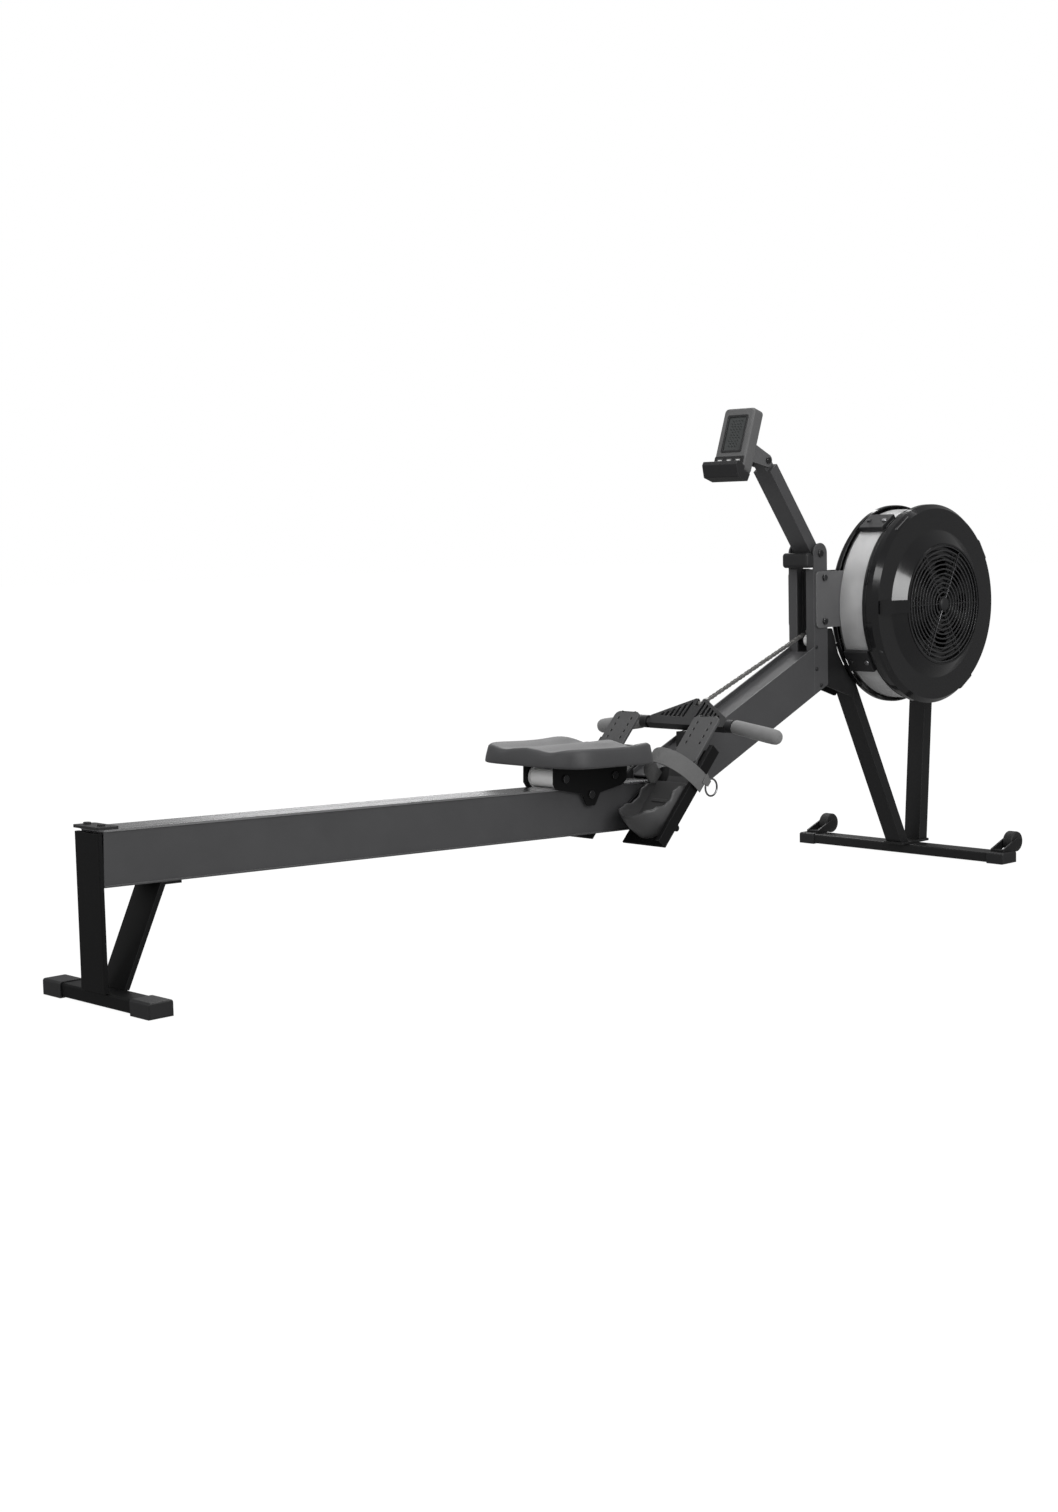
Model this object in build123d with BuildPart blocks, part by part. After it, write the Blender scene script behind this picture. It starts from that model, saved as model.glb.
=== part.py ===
from build123d import *
import os
from math import acos, atan2, cos, hypot, radians, sin, tan

# Air rowing machine. +X points to the flywheel, +Y to the rower's left, +Z up, all in mm.
# The origin is on the floor, midway between the rear end and the front of the flywheel housing.
# Places along the machine are stations, measured forward from its rear end.

overall_length = 2468.0


def x_of(station):
    """Frame X of a station."""
    return station - overall_length / 2


# ---- driving dimensions -------------------------------------------------------------
frame_width = 74.0
frame_half = frame_width / 2

rail_rear_station, rail_top_z = 16.0, 310.0
rail_fall = 1.85
rail_length = 1375.0
rail_depth = 100.0
rail_box_half = 34.5
track_thickness = 4.0
rail_wall = 3.0

beam_rise = 24.0
beam_depth = 100.0
beam_start_station, beam_end_station = 1397.0, 1927.0
beam_foot_station, beam_foot_z = 1391.0, 172.0
beam_wall = 3.0
beam_recess = 10.0

upright_front_station = 1975.0
upright_pivot_station, arm_pivot_z = 1951.0, 733.0
upright_foot_z = 432.0
upright_wall = 3.5
upright_flange = 23.0
pivot_bolt_radius = 4.95
pivot_hole_radius = 5.0

hub_station, hub_z = 2236.0, 608.0
housing_radius = 232.0
band_radius = 222.0
band_near_y, band_far_y = -110.0, -42.0
cover_rim_y = -145.0
cover_face_y = -152.0
grille_radius, grille_y = 136.4, -173.0
shell = 3.0
far_cover_y = 33.0

foot_bar_half = 305.0
rear_foot_half = 167.0

board_station, board_z = 1276.0, 147.0
board_slope = 47.0
board_length, board_width = 250.0, 120.0
board_centre_y = 105.0
board_thickness = 4.0

handle_station, handle_z = 1535.0, 373.0
handle_half = 267.0
shackle_reach = 60.0
handle_tilt = 41.8

chain_gate_station, chain_gate_z = 1945.0, 553.0
chain_width, chain_height = 8.0, 8.0
sprocket_radius = 29.0
axle_radius = 8.0
running_gap = 0.05

arm_tip_station, arm_tip_z = 1792.0, 943.0
arm_width, arm_depth = 50.0, 28.0

monitor_station, monitor_z = 1674.0, 921.0
monitor_lean = 19.2
monitor_width, monitor_height, monitor_depth = 88.0, 146.0, 32.0

seat_rear_station, seat_front_station = 1034.0, 1302.0
seat_half = 150.0
seat_under, seat_thickness = 48.0, 47.0
top_roller_radius = 19.7
top_roller_stations = (1111.0, 1255.0)
guide_roller_station = 1186.0
guide_roller_radius = 12.0
carriage_gap = 42.0
carriage_wall = 3.0

rail_down = radians(rail_fall)
beam_up = radians(beam_rise)
board_up = radians(board_slope)


def rail_top(station):
    """Height of the rail's running surface."""
    return rail_top_z - (station - rail_rear_station) * tan(rail_down)


def beam_under(station):
    """Height of the main beam's lower face."""
    return beam_foot_z + (station - beam_foot_station) * tan(beam_up)


def beam_over(station, sunk=0.0):
    """Height of the main beam's upper edge, or of a face sunk below it."""
    return beam_under(station) + (beam_depth - sunk) / cos(beam_up)


def side(y):
    """Side-view plane at a given Y: local x is X, local y is Z, and it extrudes towards -Y."""
    return Plane.XZ.offset(-y)


def along_rail(station, lift):
    """X and Z of a point a given height above the rail's running surface, square to it."""
    return (x_of(station) + lift * sin(rail_down), rail_top(station) + lift * cos(rail_down))


def board_plane(y, up=0.0, off=0.0):
    """Plane of a foot board: local x runs up the slope, local y is Y, local z points to the rower."""
    x_dir = Vector(cos(board_up), 0, sin(board_up))
    z_dir = Vector(-sin(board_up), 0, cos(board_up))
    origin = Vector(x_of(board_station), y, board_z) + x_dir * up + z_dir * off
    return Plane(origin=origin, x_dir=x_dir, z_dir=z_dir)


def mirrored(piece):
    """The same piece on the other side of the machine."""
    with BuildPart() as copy:
        mirror(piece.part, about=Plane.XZ)
    return copy


def grouped(*members):
    """Several pieces kept as separate solids in one node."""
    with BuildPart() as group:
        for member in members:
            add(member.part)
    return group


def side_plate(outline, y_outer, thickness, fillet_radius=0.0):
    """A flat plate cut to a side-view outline, its outer face at y_outer on the -Y side."""
    with BuildPart() as plate:
        with BuildSketch(side(y_outer + thickness)):
            with BuildLine():
                Polyline(*[(x_of(s), z) for s, z in outline], close=True)
            make_face()
            if fillet_radius:
                fillet(vertices(), fillet_radius)
        extrude(amount=thickness)
    return plate


pieces = {}

# ---- seat rail ----------------------------------------------------------------------
rail_plane = Plane(
    origin=(x_of(rail_rear_station), 0, rail_top_z),
    x_dir=(0, 1, 0),
    z_dir=(cos(rail_down), 0, -sin(rail_down)),
)
rail_inner_depth = rail_depth - track_thickness - 2 * rail_wall

with BuildPart() as rail_box:
    with BuildSketch(rail_plane):
        with Locations((0, -(rail_depth + track_thickness) / 2)):
            Rectangle(2 * rail_box_half, rail_depth - track_thickness)
            Rectangle(2 * (rail_box_half - rail_wall), rail_inner_depth, mode=Mode.SUBTRACT)
        with Locations((0, -rail_depth + rail_wall / 2)):
            Rectangle(frame_width, rail_wall)
    extrude(amount=rail_length)
pieces["rail_box"] = rail_box

with BuildPart() as rail_track:
    with BuildSketch(rail_plane):
        with Locations((0, -track_thickness / 2)):
            Rectangle(frame_width, track_thickness)
    extrude(amount=rail_length)
pieces["rail_track"] = rail_track

cap_length, cap_thickness, cap_bump = 46.0, 5.0, 4.0
cap_plane = Plane(rail_plane.origin, x_dir=(cos(rail_down), 0, -sin(rail_down)),
                  z_dir=(sin(rail_down), 0, cos(rail_down)))
with BuildPart() as rail_end_cap:
    with BuildSketch(cap_plane):
        with Locations((cap_length / 2 - rail_rear_station, 0)):
            RectangleRounded(cap_length, frame_width + 4, 6)
    extrude(amount=cap_thickness)
    with BuildSketch(cap_plane.offset(cap_thickness)):
        with Locations((4, 0)):
            with GridLocations(0, 44, 1, 2):
                Circle(7)
    extrude(amount=cap_bump)
    fillet(rail_end_cap.faces().sort_by(Axis.Z)[-2:].edges(), 1.5)
pieces["rail_end_cap"] = rail_end_cap

# ---- rear leg -----------------------------------------------------------------------
rear_bar_top = 27.0
post_thickness, post_front_station = 9.0, 12.0
with BuildPart() as rear_post:
    post_height = rail_top_z - 6 - rear_bar_top
    with Locations((x_of(post_front_station) - post_thickness / 2, 0, rear_bar_top + post_height / 2)):
        Box(post_thickness, frame_width, post_height)
    fillet(rear_post.edges().filter_by(Axis.Z), 2)

with BuildPart() as rear_strut:
    with BuildSketch(Plane.XZ):
        with BuildLine():
            strut_top = rail_top(137) - rail_depth / cos(rail_down)
            strut_end = rail_top(170) - rail_depth / cos(rail_down)
            strut_back = rail_top(127) - rail_depth / cos(rail_down)
            Polyline(
                (x_of(43), rear_bar_top),
                (x_of(53), rear_bar_top),
                (x_of(136), strut_top - 5),
                (x_of(170), strut_end - 5),
                (x_of(170), strut_end),
                (x_of(127), strut_back),
                close=True,
            )
        make_face()
    extrude(amount=frame_half, both=True)
pieces["rear_leg"] = grouped(rear_post, rear_strut)

with BuildPart() as rear_foot_bar:
    with Locations((x_of(30), 0, 14.5)):
        Box(44, 2 * (rear_foot_half - 4), 25)
    fillet(rear_foot_bar.edges().filter_by(Axis.Y), 4)
    with Locations((x_of(30), 0, 14.5)):
        Box(39, 2 * rear_foot_half, 20, mode=Mode.SUBTRACT)
pieces["rear_foot_bar"] = rear_foot_bar

front_bar_station = 2310.0
with BuildPart() as front_foot_bar:
    with Locations((x_of(front_bar_station), 0, 13)):
        Box(52, 2 * (foot_bar_half - 4), 23)
    fillet(front_foot_bar.edges().filter_by(Axis.Y), 4)
    with Locations((x_of(front_bar_station), 0, 13)):
        Box(47, 2 * foot_bar_half, 18, mode=Mode.SUBTRACT)
pieces["front_foot_bar"] = front_foot_bar


def foot_cap(station, half, bar_size, cap_size, length, cap_z):
    """A moulded end cap that wraps a foot bar's end on the -Y side and stands on the floor."""
    with BuildPart() as cap:
        with Locations((x_of(station), -half + length / 2, cap_z)):
            Box(cap_size[0], length, cap_size[1])
        fillet(cap.edges().filter_by(Axis.Y).group_by(Axis.Z)[-1], 5)
        fillet(cap.faces().sort_by(Axis.Y)[0].edges(), 3)
        with Locations((x_of(station), -half + length / 2 + 4, cap_z)):
            Box(bar_size[0], length, bar_size[1], mode=Mode.SUBTRACT)
    return cap


rear_cap = foot_cap(30, rear_foot_half, (44, 25), (50, 29), 58, 14.5)
front_cap = foot_cap(front_bar_station, foot_bar_half, (52, 23), (56, 26), 46, 13)
with BuildPart() as foot_caps:
    add(rear_cap.part)
    add(front_cap.part)
    mirror(about=Plane.XZ)
pieces["foot_caps"] = foot_caps

# ---- main beam ----------------------------------------------------------------------
beam_dir = Vector(cos(beam_up), 0, sin(beam_up))
beam_origin = Vector(x_of(beam_foot_station), 0, beam_foot_z) - beam_dir * 60
beam_plane = Plane(origin=beam_origin, x_dir=(0, 1, 0), z_dir=beam_dir)
beam_reach = (beam_end_station - beam_foot_station) / cos(beam_up) + 120

with BuildPart() as main_beam:
    with BuildSketch(beam_plane):
        with Locations((0, beam_depth / 2)):
            Rectangle(frame_width, beam_depth)
        with Locations((0, beam_depth - beam_recess / 2)):
            Rectangle(frame_width - 2 * beam_wall, beam_recess, mode=Mode.SUBTRACT)
        inner_top = beam_depth - beam_recess - beam_wall
        with Locations((0, (beam_wall + inner_top) / 2)):
            Rectangle(frame_width - 2 * beam_wall, inner_top - beam_wall, mode=Mode.SUBTRACT)
    extrude(amount=beam_reach)
    with Locations((x_of(beam_start_station) - 150, 0, 200)):
        Box(300, 100, 400, mode=Mode.SUBTRACT)
    with Locations((x_of(beam_end_station) + 150, 0, 500)):
        Box(300, 100, 600, mode=Mode.SUBTRACT)
pieces["main_beam"] = main_beam

joint_plate_thickness = 4.0
joint_outline = [
    (1300, 169),
    (1392, 167),
    (1505, beam_under(1505) + 2),
    (1505, 300),
    (1402, 292),
    (1300, 225),
]
joint_plate = side_plate(joint_outline, -frame_half - joint_plate_thickness, joint_plate_thickness, 8)
with BuildPart() as joint_plates:
    add(joint_plate.part)
    mirror(about=Plane.XZ)
pieces["joint_plates"] = joint_plates

# ---- uprights at the beam's front end -------------------------------------------------
upright_mid = (beam_end_station + upright_front_station) / 2
upright_depth = upright_front_station - beam_end_station
flange_top_z = 698.0
with BuildPart() as upright_right:
    with BuildSketch(side(-frame_half + upright_wall)):
        with BuildLine():
            Polyline(
                (x_of(beam_end_station), beam_under(beam_end_station)),
                (x_of(upright_front_station), beam_under(upright_front_station)),
                (x_of(upright_front_station), arm_pivot_z),
                (x_of(beam_end_station), arm_pivot_z),
                close=True,
            )
        make_face()
        with Locations((x_of(upright_mid), arm_pivot_z)):
            Circle(upright_depth / 2)
            Circle(pivot_hole_radius, mode=Mode.SUBTRACT)
    extrude(amount=upright_wall)
    for station in (beam_end_station + upright_wall / 2, upright_front_station - upright_wall / 2):
        flange_foot_z = beam_under(upright_front_station) + 4
        with Locations((x_of(station), -frame_half + upright_flange / 2, (flange_foot_z + flange_top_z) / 2)):
            Box(upright_wall, upright_flange, flange_top_z - flange_foot_z)
upright_left = mirrored(upright_right)
pieces["uprights"] = grouped(upright_right, upright_left)

# The block's front upper edge is cut back so that the folding arm clears it.
rest_relief, rest_block_top = 10.0, 735.0
with BuildPart() as arm_rest_block:
    with Locations((x_of(beam_end_station) - 12, 0, rest_block_top - 17)):
        Box(24, frame_width, 34)
    fillet(arm_rest_block.edges().filter_by(Axis.Y).group_by(Axis.X)[0], 8)
    fillet(arm_rest_block.edges().filter_by(Axis.Z).group_by(Axis.X)[0], 6)
    with BuildSketch(Plane.XZ):
        with BuildLine():
            Polyline(
                (x_of(beam_end_station) - rest_relief, rest_block_top),
                (x_of(beam_end_station), rest_block_top),
                (x_of(beam_end_station), rest_block_top - rest_relief),
                close=True,
            )
        make_face()
    extrude(amount=frame_width, both=True, mode=Mode.SUBTRACT)
pieces["arm_rest_block"] = arm_rest_block

# ---- fork plates that carry the flywheel ----------------------------------------------
fork_thickness = 4.5
neck_foot_z, neck_top_z = 564.0, 692.0
bearing_radius = 16.0
with BuildPart() as fork_plate_right:
    with BuildSketch(side(-frame_half)):
        neck_front = hub_station - 120
        neck_rear = beam_end_station + 4
        with Locations((x_of((neck_front + neck_rear) / 2), (neck_foot_z + neck_top_z) / 2)):
            RectangleRounded(neck_front - neck_rear, neck_top_z - neck_foot_z, 10)
        with Locations((x_of(hub_station), hub_z)):
            Circle(band_radius - 1)
            Circle(bearing_radius, mode=Mode.SUBTRACT)
    extrude(amount=fork_thickness)
pieces["fork_plate_right"] = fork_plate_right

leg_top_station, leg_top_z = 2386.0, 452.0
with BuildPart() as fork_plate_left:
    with BuildSketch(side(frame_half + fork_thickness)):
        neck_front = hub_station - 60
        with Locations((x_of((neck_front + neck_rear) / 2), (neck_foot_z + neck_top_z) / 2)):
            RectangleRounded(neck_front - neck_rear, neck_top_z - neck_foot_z, 10)
        with BuildLine():
            Polyline(
                (x_of(hub_station) - 90, neck_top_z - 15),
                (x_of(hub_station) - 90, neck_foot_z + 15),
                (x_of(leg_top_station) - 30, leg_top_z - 25),
                (x_of(leg_top_station) + 26, leg_top_z - 18),
                (x_of(leg_top_station) + 22, leg_top_z + 30),
                (x_of(hub_station) + 50, hub_z + 30),
                (x_of(hub_station) + 10, hub_z + 58),
                close=True,
            )
        make_face()
        with Locations((x_of(hub_station), hub_z)):
            Circle(bearing_radius, mode=Mode.SUBTRACT)
    extrude(amount=fork_thickness)
pieces["fork_plate_left"] = fork_plate_left

with BuildPart() as axle_bearings:
    with BuildSketch(side(-frame_half)):
        with Locations((x_of(hub_station), hub_z)):
            Circle(bearing_radius - 0.02)
            Circle(axle_radius + running_gap, mode=Mode.SUBTRACT)
    extrude(amount=fork_thickness)
    mirror(about=Plane.XZ)
pieces["axle_bearings"] = axle_bearings

# ---- front legs ---------------------------------------------------------------------
leg_width, leg_wall = 45.0, 2.0
gusset_thickness = 4.0


def leg(foot, top, depth):
    """A rectangular tube between two side-view points, cut level at the foot and the top."""
    run = Vector(top[0] - foot[0], 0, top[1] - foot[1])
    spare = 40.0
    start = Vector(x_of(foot[0]), 0, foot[1]) - run.normalized() * spare
    with BuildPart() as tube:
        with BuildSketch(Plane(origin=start, x_dir=(0, 1, 0), z_dir=run)):
            Rectangle(leg_width, depth)
            Rectangle(leg_width - 2 * leg_wall, depth - 2 * leg_wall, mode=Mode.SUBTRACT)
        extrude(amount=run.length + 2 * spare)
        with Locations((x_of(foot[0]), 0, foot[1] - 100)):
            Box(400, 100, 200, mode=Mode.SUBTRACT)
        with Locations((x_of(top[0]), 0, top[1] + 100)):
            Box(400, 100, 200, mode=Mode.SUBTRACT)
    return tube


front_bar_top = 24.5
leg_plate_z = front_bar_top + 5
front_leg_rear = leg((2283, leg_plate_z), (2061, 470), 25)
front_leg_front = leg((2357, leg_plate_z), (leg_top_station, leg_top_z), 30)
pieces["front_legs"] = grouped(front_leg_rear, front_leg_front)

with BuildPart() as leg_foot_plate:
    with Locations((x_of(2320), 0, front_bar_top + 2.5)):
        Box(110, 60, 5)
    fillet(leg_foot_plate.edges().filter_by(Axis.Z), 8)

gusset_outline = [
    (upright_front_station + 1, 430),
    (2078, 396),
    (2088, 414),
    (2058, 455),
    (2027, 500),
    (2005, 560),
    (upright_front_station + 1, 560),
]
gusset = side_plate(gusset_outline, -leg_width / 2 - gusset_thickness, gusset_thickness, 6)
with BuildPart() as leg_gussets:
    add(gusset.part)
    mirror(about=Plane.XZ)
pieces["leg_brackets"] = grouped(leg_foot_plate, leg_gussets)

# ---- transport wheels ---------------------------------------------------------------
caster_station, caster_y, caster_z = 2364.0, 276.0, 44.0
caster_radius, caster_half, caster_axle_radius = 24.0, 13.0, 4.0
bracket_thickness = 4.0


def on_both_sides(build, *values):
    """Build one piece and its mirror image as two solids in one group."""
    with BuildPart() as pair:
        add(build(*values).part)
        mirror(about=Plane.XZ)
    return pair


def caster_cheeks():
    """The fork of one transport wheel, which stands on the foot bar's cap."""
    with BuildPart() as fork:
        for sign in (-1, 1):
            y_face = -caster_y + sign * (caster_half + 1 + bracket_thickness / 2) + bracket_thickness / 2
            with BuildSketch(side(y_face)):
                with BuildLine():
                    Polyline(
                        (x_of(2300), 26),
                        (x_of(2338), 26),
                        (x_of(caster_station) + 8, caster_z - 8),
                        (x_of(caster_station) + 8, caster_z + 8),
                        (x_of(caster_station) - 6, caster_z + 10),
                        (x_of(2300), 32),
                        close=True,
                    )
                make_face()
                with Locations((x_of(caster_station), caster_z)):
                    Circle(caster_axle_radius, mode=Mode.SUBTRACT)
            extrude(amount=bracket_thickness)
        with Locations((x_of(2308), -caster_y, 28.5)):
            Box(16, 2 * (caster_half + 1), 5)
    return fork


caster_brackets = on_both_sides(caster_cheeks)


def caster_pin():
    """Axle of one transport wheel."""
    with BuildPart() as pin:
        with BuildSketch(side(-caster_y + caster_half + 1 + bracket_thickness)):
            with Locations((x_of(caster_station), caster_z)):
                Circle(caster_axle_radius - 0.02)
        extrude(amount=2 * (caster_half + 1 + bracket_thickness))
    return pin


caster_axles = on_both_sides(caster_pin)
pieces["caster_forks"] = grouped(caster_brackets, caster_axles)

with BuildPart() as caster_wheel_right:
    with BuildSketch(side(-caster_y)):
        with Locations((x_of(caster_station), caster_z)):
            Circle(caster_radius)
            Circle(caster_axle_radius + running_gap, mode=Mode.SUBTRACT)
    extrude(amount=caster_half, both=True)
    fillet(caster_wheel_right.edges().filter_by(GeomType.CIRCLE).sort_by(SortBy.RADIUS)[-2:], 4)
caster_wheel_left = mirrored(caster_wheel_right)
pieces["caster_wheel_right"] = caster_wheel_right
pieces["caster_wheel_left"] = caster_wheel_left

# ---- flywheel housing ---------------------------------------------------------------
hub_x = x_of(hub_station)
hub_axis = Axis((hub_x, 0, hub_z), (0, 1, 0))
hub_section = Plane(origin=(hub_x, 0, hub_z), x_dir=(1, 0, 0), z_dir=(0, 0, 1))


def turned(profile):
    """A ring turned about the flywheel's axis from (radius, Y) points."""
    with BuildPart() as ring:
        with BuildSketch(hub_section):
            with BuildLine():
                Polyline(*profile, close=True)
            make_face()
        revolve(axis=hub_axis)
    return ring


cone_foot, cone_top = 172.0, 141.0
cover_outer = [
    (band_radius + 5, band_near_y),
    (band_radius + 5, -122),
    (housing_radius, -126),
    (housing_radius, cover_rim_y + 6),
    (housing_radius - 10, cover_face_y),
    (cone_foot, cover_face_y),
    (cone_top, grille_y),
]
cover_inner = [
    (cone_top, grille_y + 4),
    (cone_foot - 2, cover_face_y + shell),
    (housing_radius - 11, cover_face_y + shell),
    (housing_radius - shell, cover_rim_y + 7),
    (housing_radius - shell, -127),
    (band_radius + 2, -123),
    (band_radius - 2, band_near_y),
]
housing_cover_right = turned(cover_outer + cover_inner)
pieces["housing_cover_right"] = housing_cover_right

far_rim_y = -frame_half + 0.5
far_outer = [
    (housing_radius, far_rim_y),
    (housing_radius, -27),
    (housing_radius - 8, -18),
    (160, far_cover_y - 3),
    (150, far_cover_y),
    (60, far_cover_y),
]
far_inner = [
    (60, far_cover_y - shell),
    (149, far_cover_y - shell),
    (158, far_cover_y - 3 - shell),
    (housing_radius - 10.5, -20),
    (housing_radius - shell, -28),
    (housing_radius - shell, far_rim_y),
]
with BuildPart() as housing_cover_left:
    add(turned(far_outer + far_inner).part)
    with Locations((hub_x - 200, 0, hub_z - 30)):
        Box(150, 30, 200, mode=Mode.SUBTRACT)
    with Locations((x_of(2075), 0, 440)):
        Box(80, leg_width + 4, 80, mode=Mode.SUBTRACT)
    with Locations((x_of(2380), 0, 420)):
        Box(60, leg_width + 4, 130, mode=Mode.SUBTRACT)
pieces["housing_cover_left"] = housing_cover_left

with BuildPart() as mesh_band:
    with BuildSketch(side(band_far_y - 0.3)):
        with Locations((hub_x, hub_z)):
            Circle(band_radius)
            Circle(band_radius - 2, mode=Mode.SUBTRACT)
    extrude(amount=band_far_y - band_near_y - 0.6)
pieces["mesh_band"] = mesh_band

clamp_width, clamp_height = 56.0, 12.0
with BuildPart() as housing_clamps:
    for angle in (33, 123, 213, 303):
        with BuildSketch(Plane.XZ.offset(-band_far_y + 1)):
            with Locations(Location((hub_x, hub_z), angle)):
                with Locations((band_radius + 0.3 + clamp_height / 2, 0)):
                    RectangleRounded(clamp_height, clamp_width, 3)
                Circle(band_radius + 0.2, mode=Mode.SUBTRACT)
        extrude(amount=band_far_y - band_near_y - 2)
pieces["housing_clamps"] = housing_clamps

ring_count, ring_width, ring_depth = 11, 3.0, 3.0
grille_hub_radius, spoke_width, spoke_depth = 18.0, 2.6, 3.0
ring_pitch = (grille_radius - grille_hub_radius) / ring_count
with BuildPart() as intake_grille:
    for index in range(ring_count + 1):
        radius = grille_hub_radius + ring_pitch * index
        with BuildSketch(side(grille_y + ring_depth)):
            with Locations((hub_x, hub_z)):
                Circle(radius)
                if index:
                    Circle(radius - ring_width, mode=Mode.SUBTRACT)
        extrude(amount=ring_depth)
    with BuildSketch(side(grille_y + ring_depth + spoke_depth)):
        with Locations((hub_x, hub_z)):
            with PolarLocations(0, 6):
                with Locations((grille_radius / 2, 0)):
                    Rectangle(grille_radius - 1, spoke_width)
    extrude(amount=spoke_depth)
pieces["intake_grille"] = intake_grille

lever_width = 30.0
shutter_y = grille_y + ring_depth + spoke_depth + 3
with BuildPart() as damper_lever:
    with BuildSketch(side(shutter_y + 3)):
        with Locations((hub_x, hub_z)):
            Circle(cone_top - 0.5)
            Circle(30, mode=Mode.SUBTRACT)
            with PolarLocations(85, 8):
                Circle(22, mode=Mode.SUBTRACT)
    extrude(amount=3)
    with BuildSketch(side(shutter_y)):
        with Locations((hub_x, hub_z)):
            Circle(cone_top - 0.5)
            Circle(grille_radius + 0.5, mode=Mode.SUBTRACT)
    extrude(amount=shutter_y - grille_y + 2)
    with BuildSketch(Plane(origin=(hub_x, 0, hub_z), x_dir=(1, 0, 0), z_dir=(0, 0, 1))):
        with BuildLine():
            Polyline(
                (-grille_radius - 1, grille_y - 1),
                (-grille_radius - 1, grille_y - 7),
                (-cone_foot - 6, cover_face_y - 15),
                (-housing_radius + 14, cover_face_y - 9),
                (-housing_radius + 14, cover_face_y - 1),
                (-cone_foot - 1, cover_face_y - 1),
                (-cone_top - 1, grille_y - 1),
                close=True,
            )
        make_face()
    extrude(amount=lever_width / 2, both=True)
    fillet(damper_lever.edges().filter_by(GeomType.LINE).group_by(Axis.Y)[0], 1.5)
pieces["damper_lever"] = damper_lever

blade_count, blade_root, blade_tip, blade_thickness = 20, 90.0, 205.0, 2.5
fan_back_y, fan_front_y = -52.0, -112.0
with BuildPart() as fan_wheel:
    with BuildSketch(side(fan_back_y)):
        with Locations((hub_x, hub_z)):
            Circle(blade_tip)
            Circle(axle_radius, mode=Mode.SUBTRACT)
    extrude(amount=4)
    with BuildSketch(side(fan_back_y - 4)):
        with Locations((hub_x, hub_z)):
            Circle(28)
            Circle(axle_radius, mode=Mode.SUBTRACT)
    extrude(amount=40)
    with BuildSketch(side(fan_back_y - 4)):
        with Locations((hub_x, hub_z)):
            with PolarLocations(0, blade_count):
                with Locations(((blade_root + blade_tip) / 2, 0)):
                    Rectangle(blade_tip - blade_root - 2, blade_thickness, rotation=12)
    extrude(amount=fan_back_y - 4 - fan_front_y)
pieces["fan_wheel"] = fan_wheel

axle_near_y, axle_far_y = -106.0, 48.0
with BuildPart() as flywheel_axle:
    with BuildSketch(side(axle_far_y)):
        with Locations((hub_x, hub_z)):
            Circle(axle_radius)
    extrude(amount=axle_far_y - axle_near_y)
    chamfer(flywheel_axle.edges().filter_by(GeomType.CIRCLE), 1)
pieces["flywheel_axle"] = flywheel_axle

# ---- sprockets, chain and return cord -------------------------------------------------
def toothed_wheel(centre, root, tip, bore, teeth, width):
    """A chain wheel on the centre line, with a flank gap on each side of the chain."""
    with BuildPart() as wheel:
        with BuildSketch(side(0)):
            with Locations(centre):
                Circle(root)
                with PolarLocations(root, teeth):
                    Circle(tip - root)
                Circle(bore, mode=Mode.SUBTRACT)
        extrude(amount=width / 2, both=True)
    return wheel


sprocket_root = sprocket_radius - chain_height / 2 - 3.4
sprocket = toothed_wheel((hub_x, hub_z), sprocket_root, sprocket_root + 2.6, axle_radius + running_gap, 14, 6)
pieces["sprocket"] = sprocket

idler_radius, idler_bore = 13.0, 5.0
idler_x = x_of(upright_mid) + 2
idler_z = chain_gate_z - chain_height / 2 - idler_radius - 2.0
with BuildPart() as chain_idler:
    with BuildSketch(side(6)):
        with Locations((idler_x, idler_z)):
            Circle(idler_radius)
            Circle(idler_bore + running_gap, mode=Mode.SUBTRACT)
    extrude(amount=12)
pieces["chain_idler"] = chain_idler

cord_line = beam_depth * 0.45
pulley_station, pulley_radius, cord_radius = 1455.0, 20.0, 3.5
pulley_bore = 5.0
pulley_x = x_of(pulley_station) - cord_line * sin(beam_up)
pulley_z = beam_under(pulley_station) + cord_line * cos(beam_up)
with BuildPart() as cord_pulley:
    with BuildSketch(Plane(origin=(pulley_x, 0, pulley_z), x_dir=(1, 0, 0), z_dir=(0, 0, 1))):
        with BuildLine():
            groove = pulley_radius - cord_radius - 0.5
            Polyline((pulley_bore + running_gap, -7), (pulley_radius + 2, -7), (pulley_radius + 2, -5),
                     (groove, -4), (groove, 4), (pulley_radius + 2, 5), (pulley_radius + 2, 7),
                     (pulley_bore + running_gap, 7), close=True)
        make_face()
    revolve(axis=Axis((pulley_x, 0, pulley_z), (0, 1, 0)))
pieces["cord_pulley"] = cord_pulley

pin_half = frame_half - beam_wall
with BuildPart() as pulley_axles:
    for x, z, radius, half in (
        (idler_x, idler_z, idler_bore, frame_half - upright_wall),
        (pulley_x, pulley_z, pulley_bore, pin_half),
    ):
        with BuildSketch(side(half)):
            with Locations((x, z)):
                Circle(radius)
        extrude(amount=2 * half)
pieces["pulley_axles"] = pulley_axles


def tangent_point(point, centre, radius, turn):
    """Where a line from a point touches a circle; turn is +1 or -1 for the two sides."""
    reach = hypot(point[0] - centre[0], point[1] - centre[1])
    angle = atan2(point[1] - centre[1], point[0] - centre[0]) + turn * acos(radius / reach)
    return (centre[0] + radius * cos(angle), centre[1] + radius * sin(angle))


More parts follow.
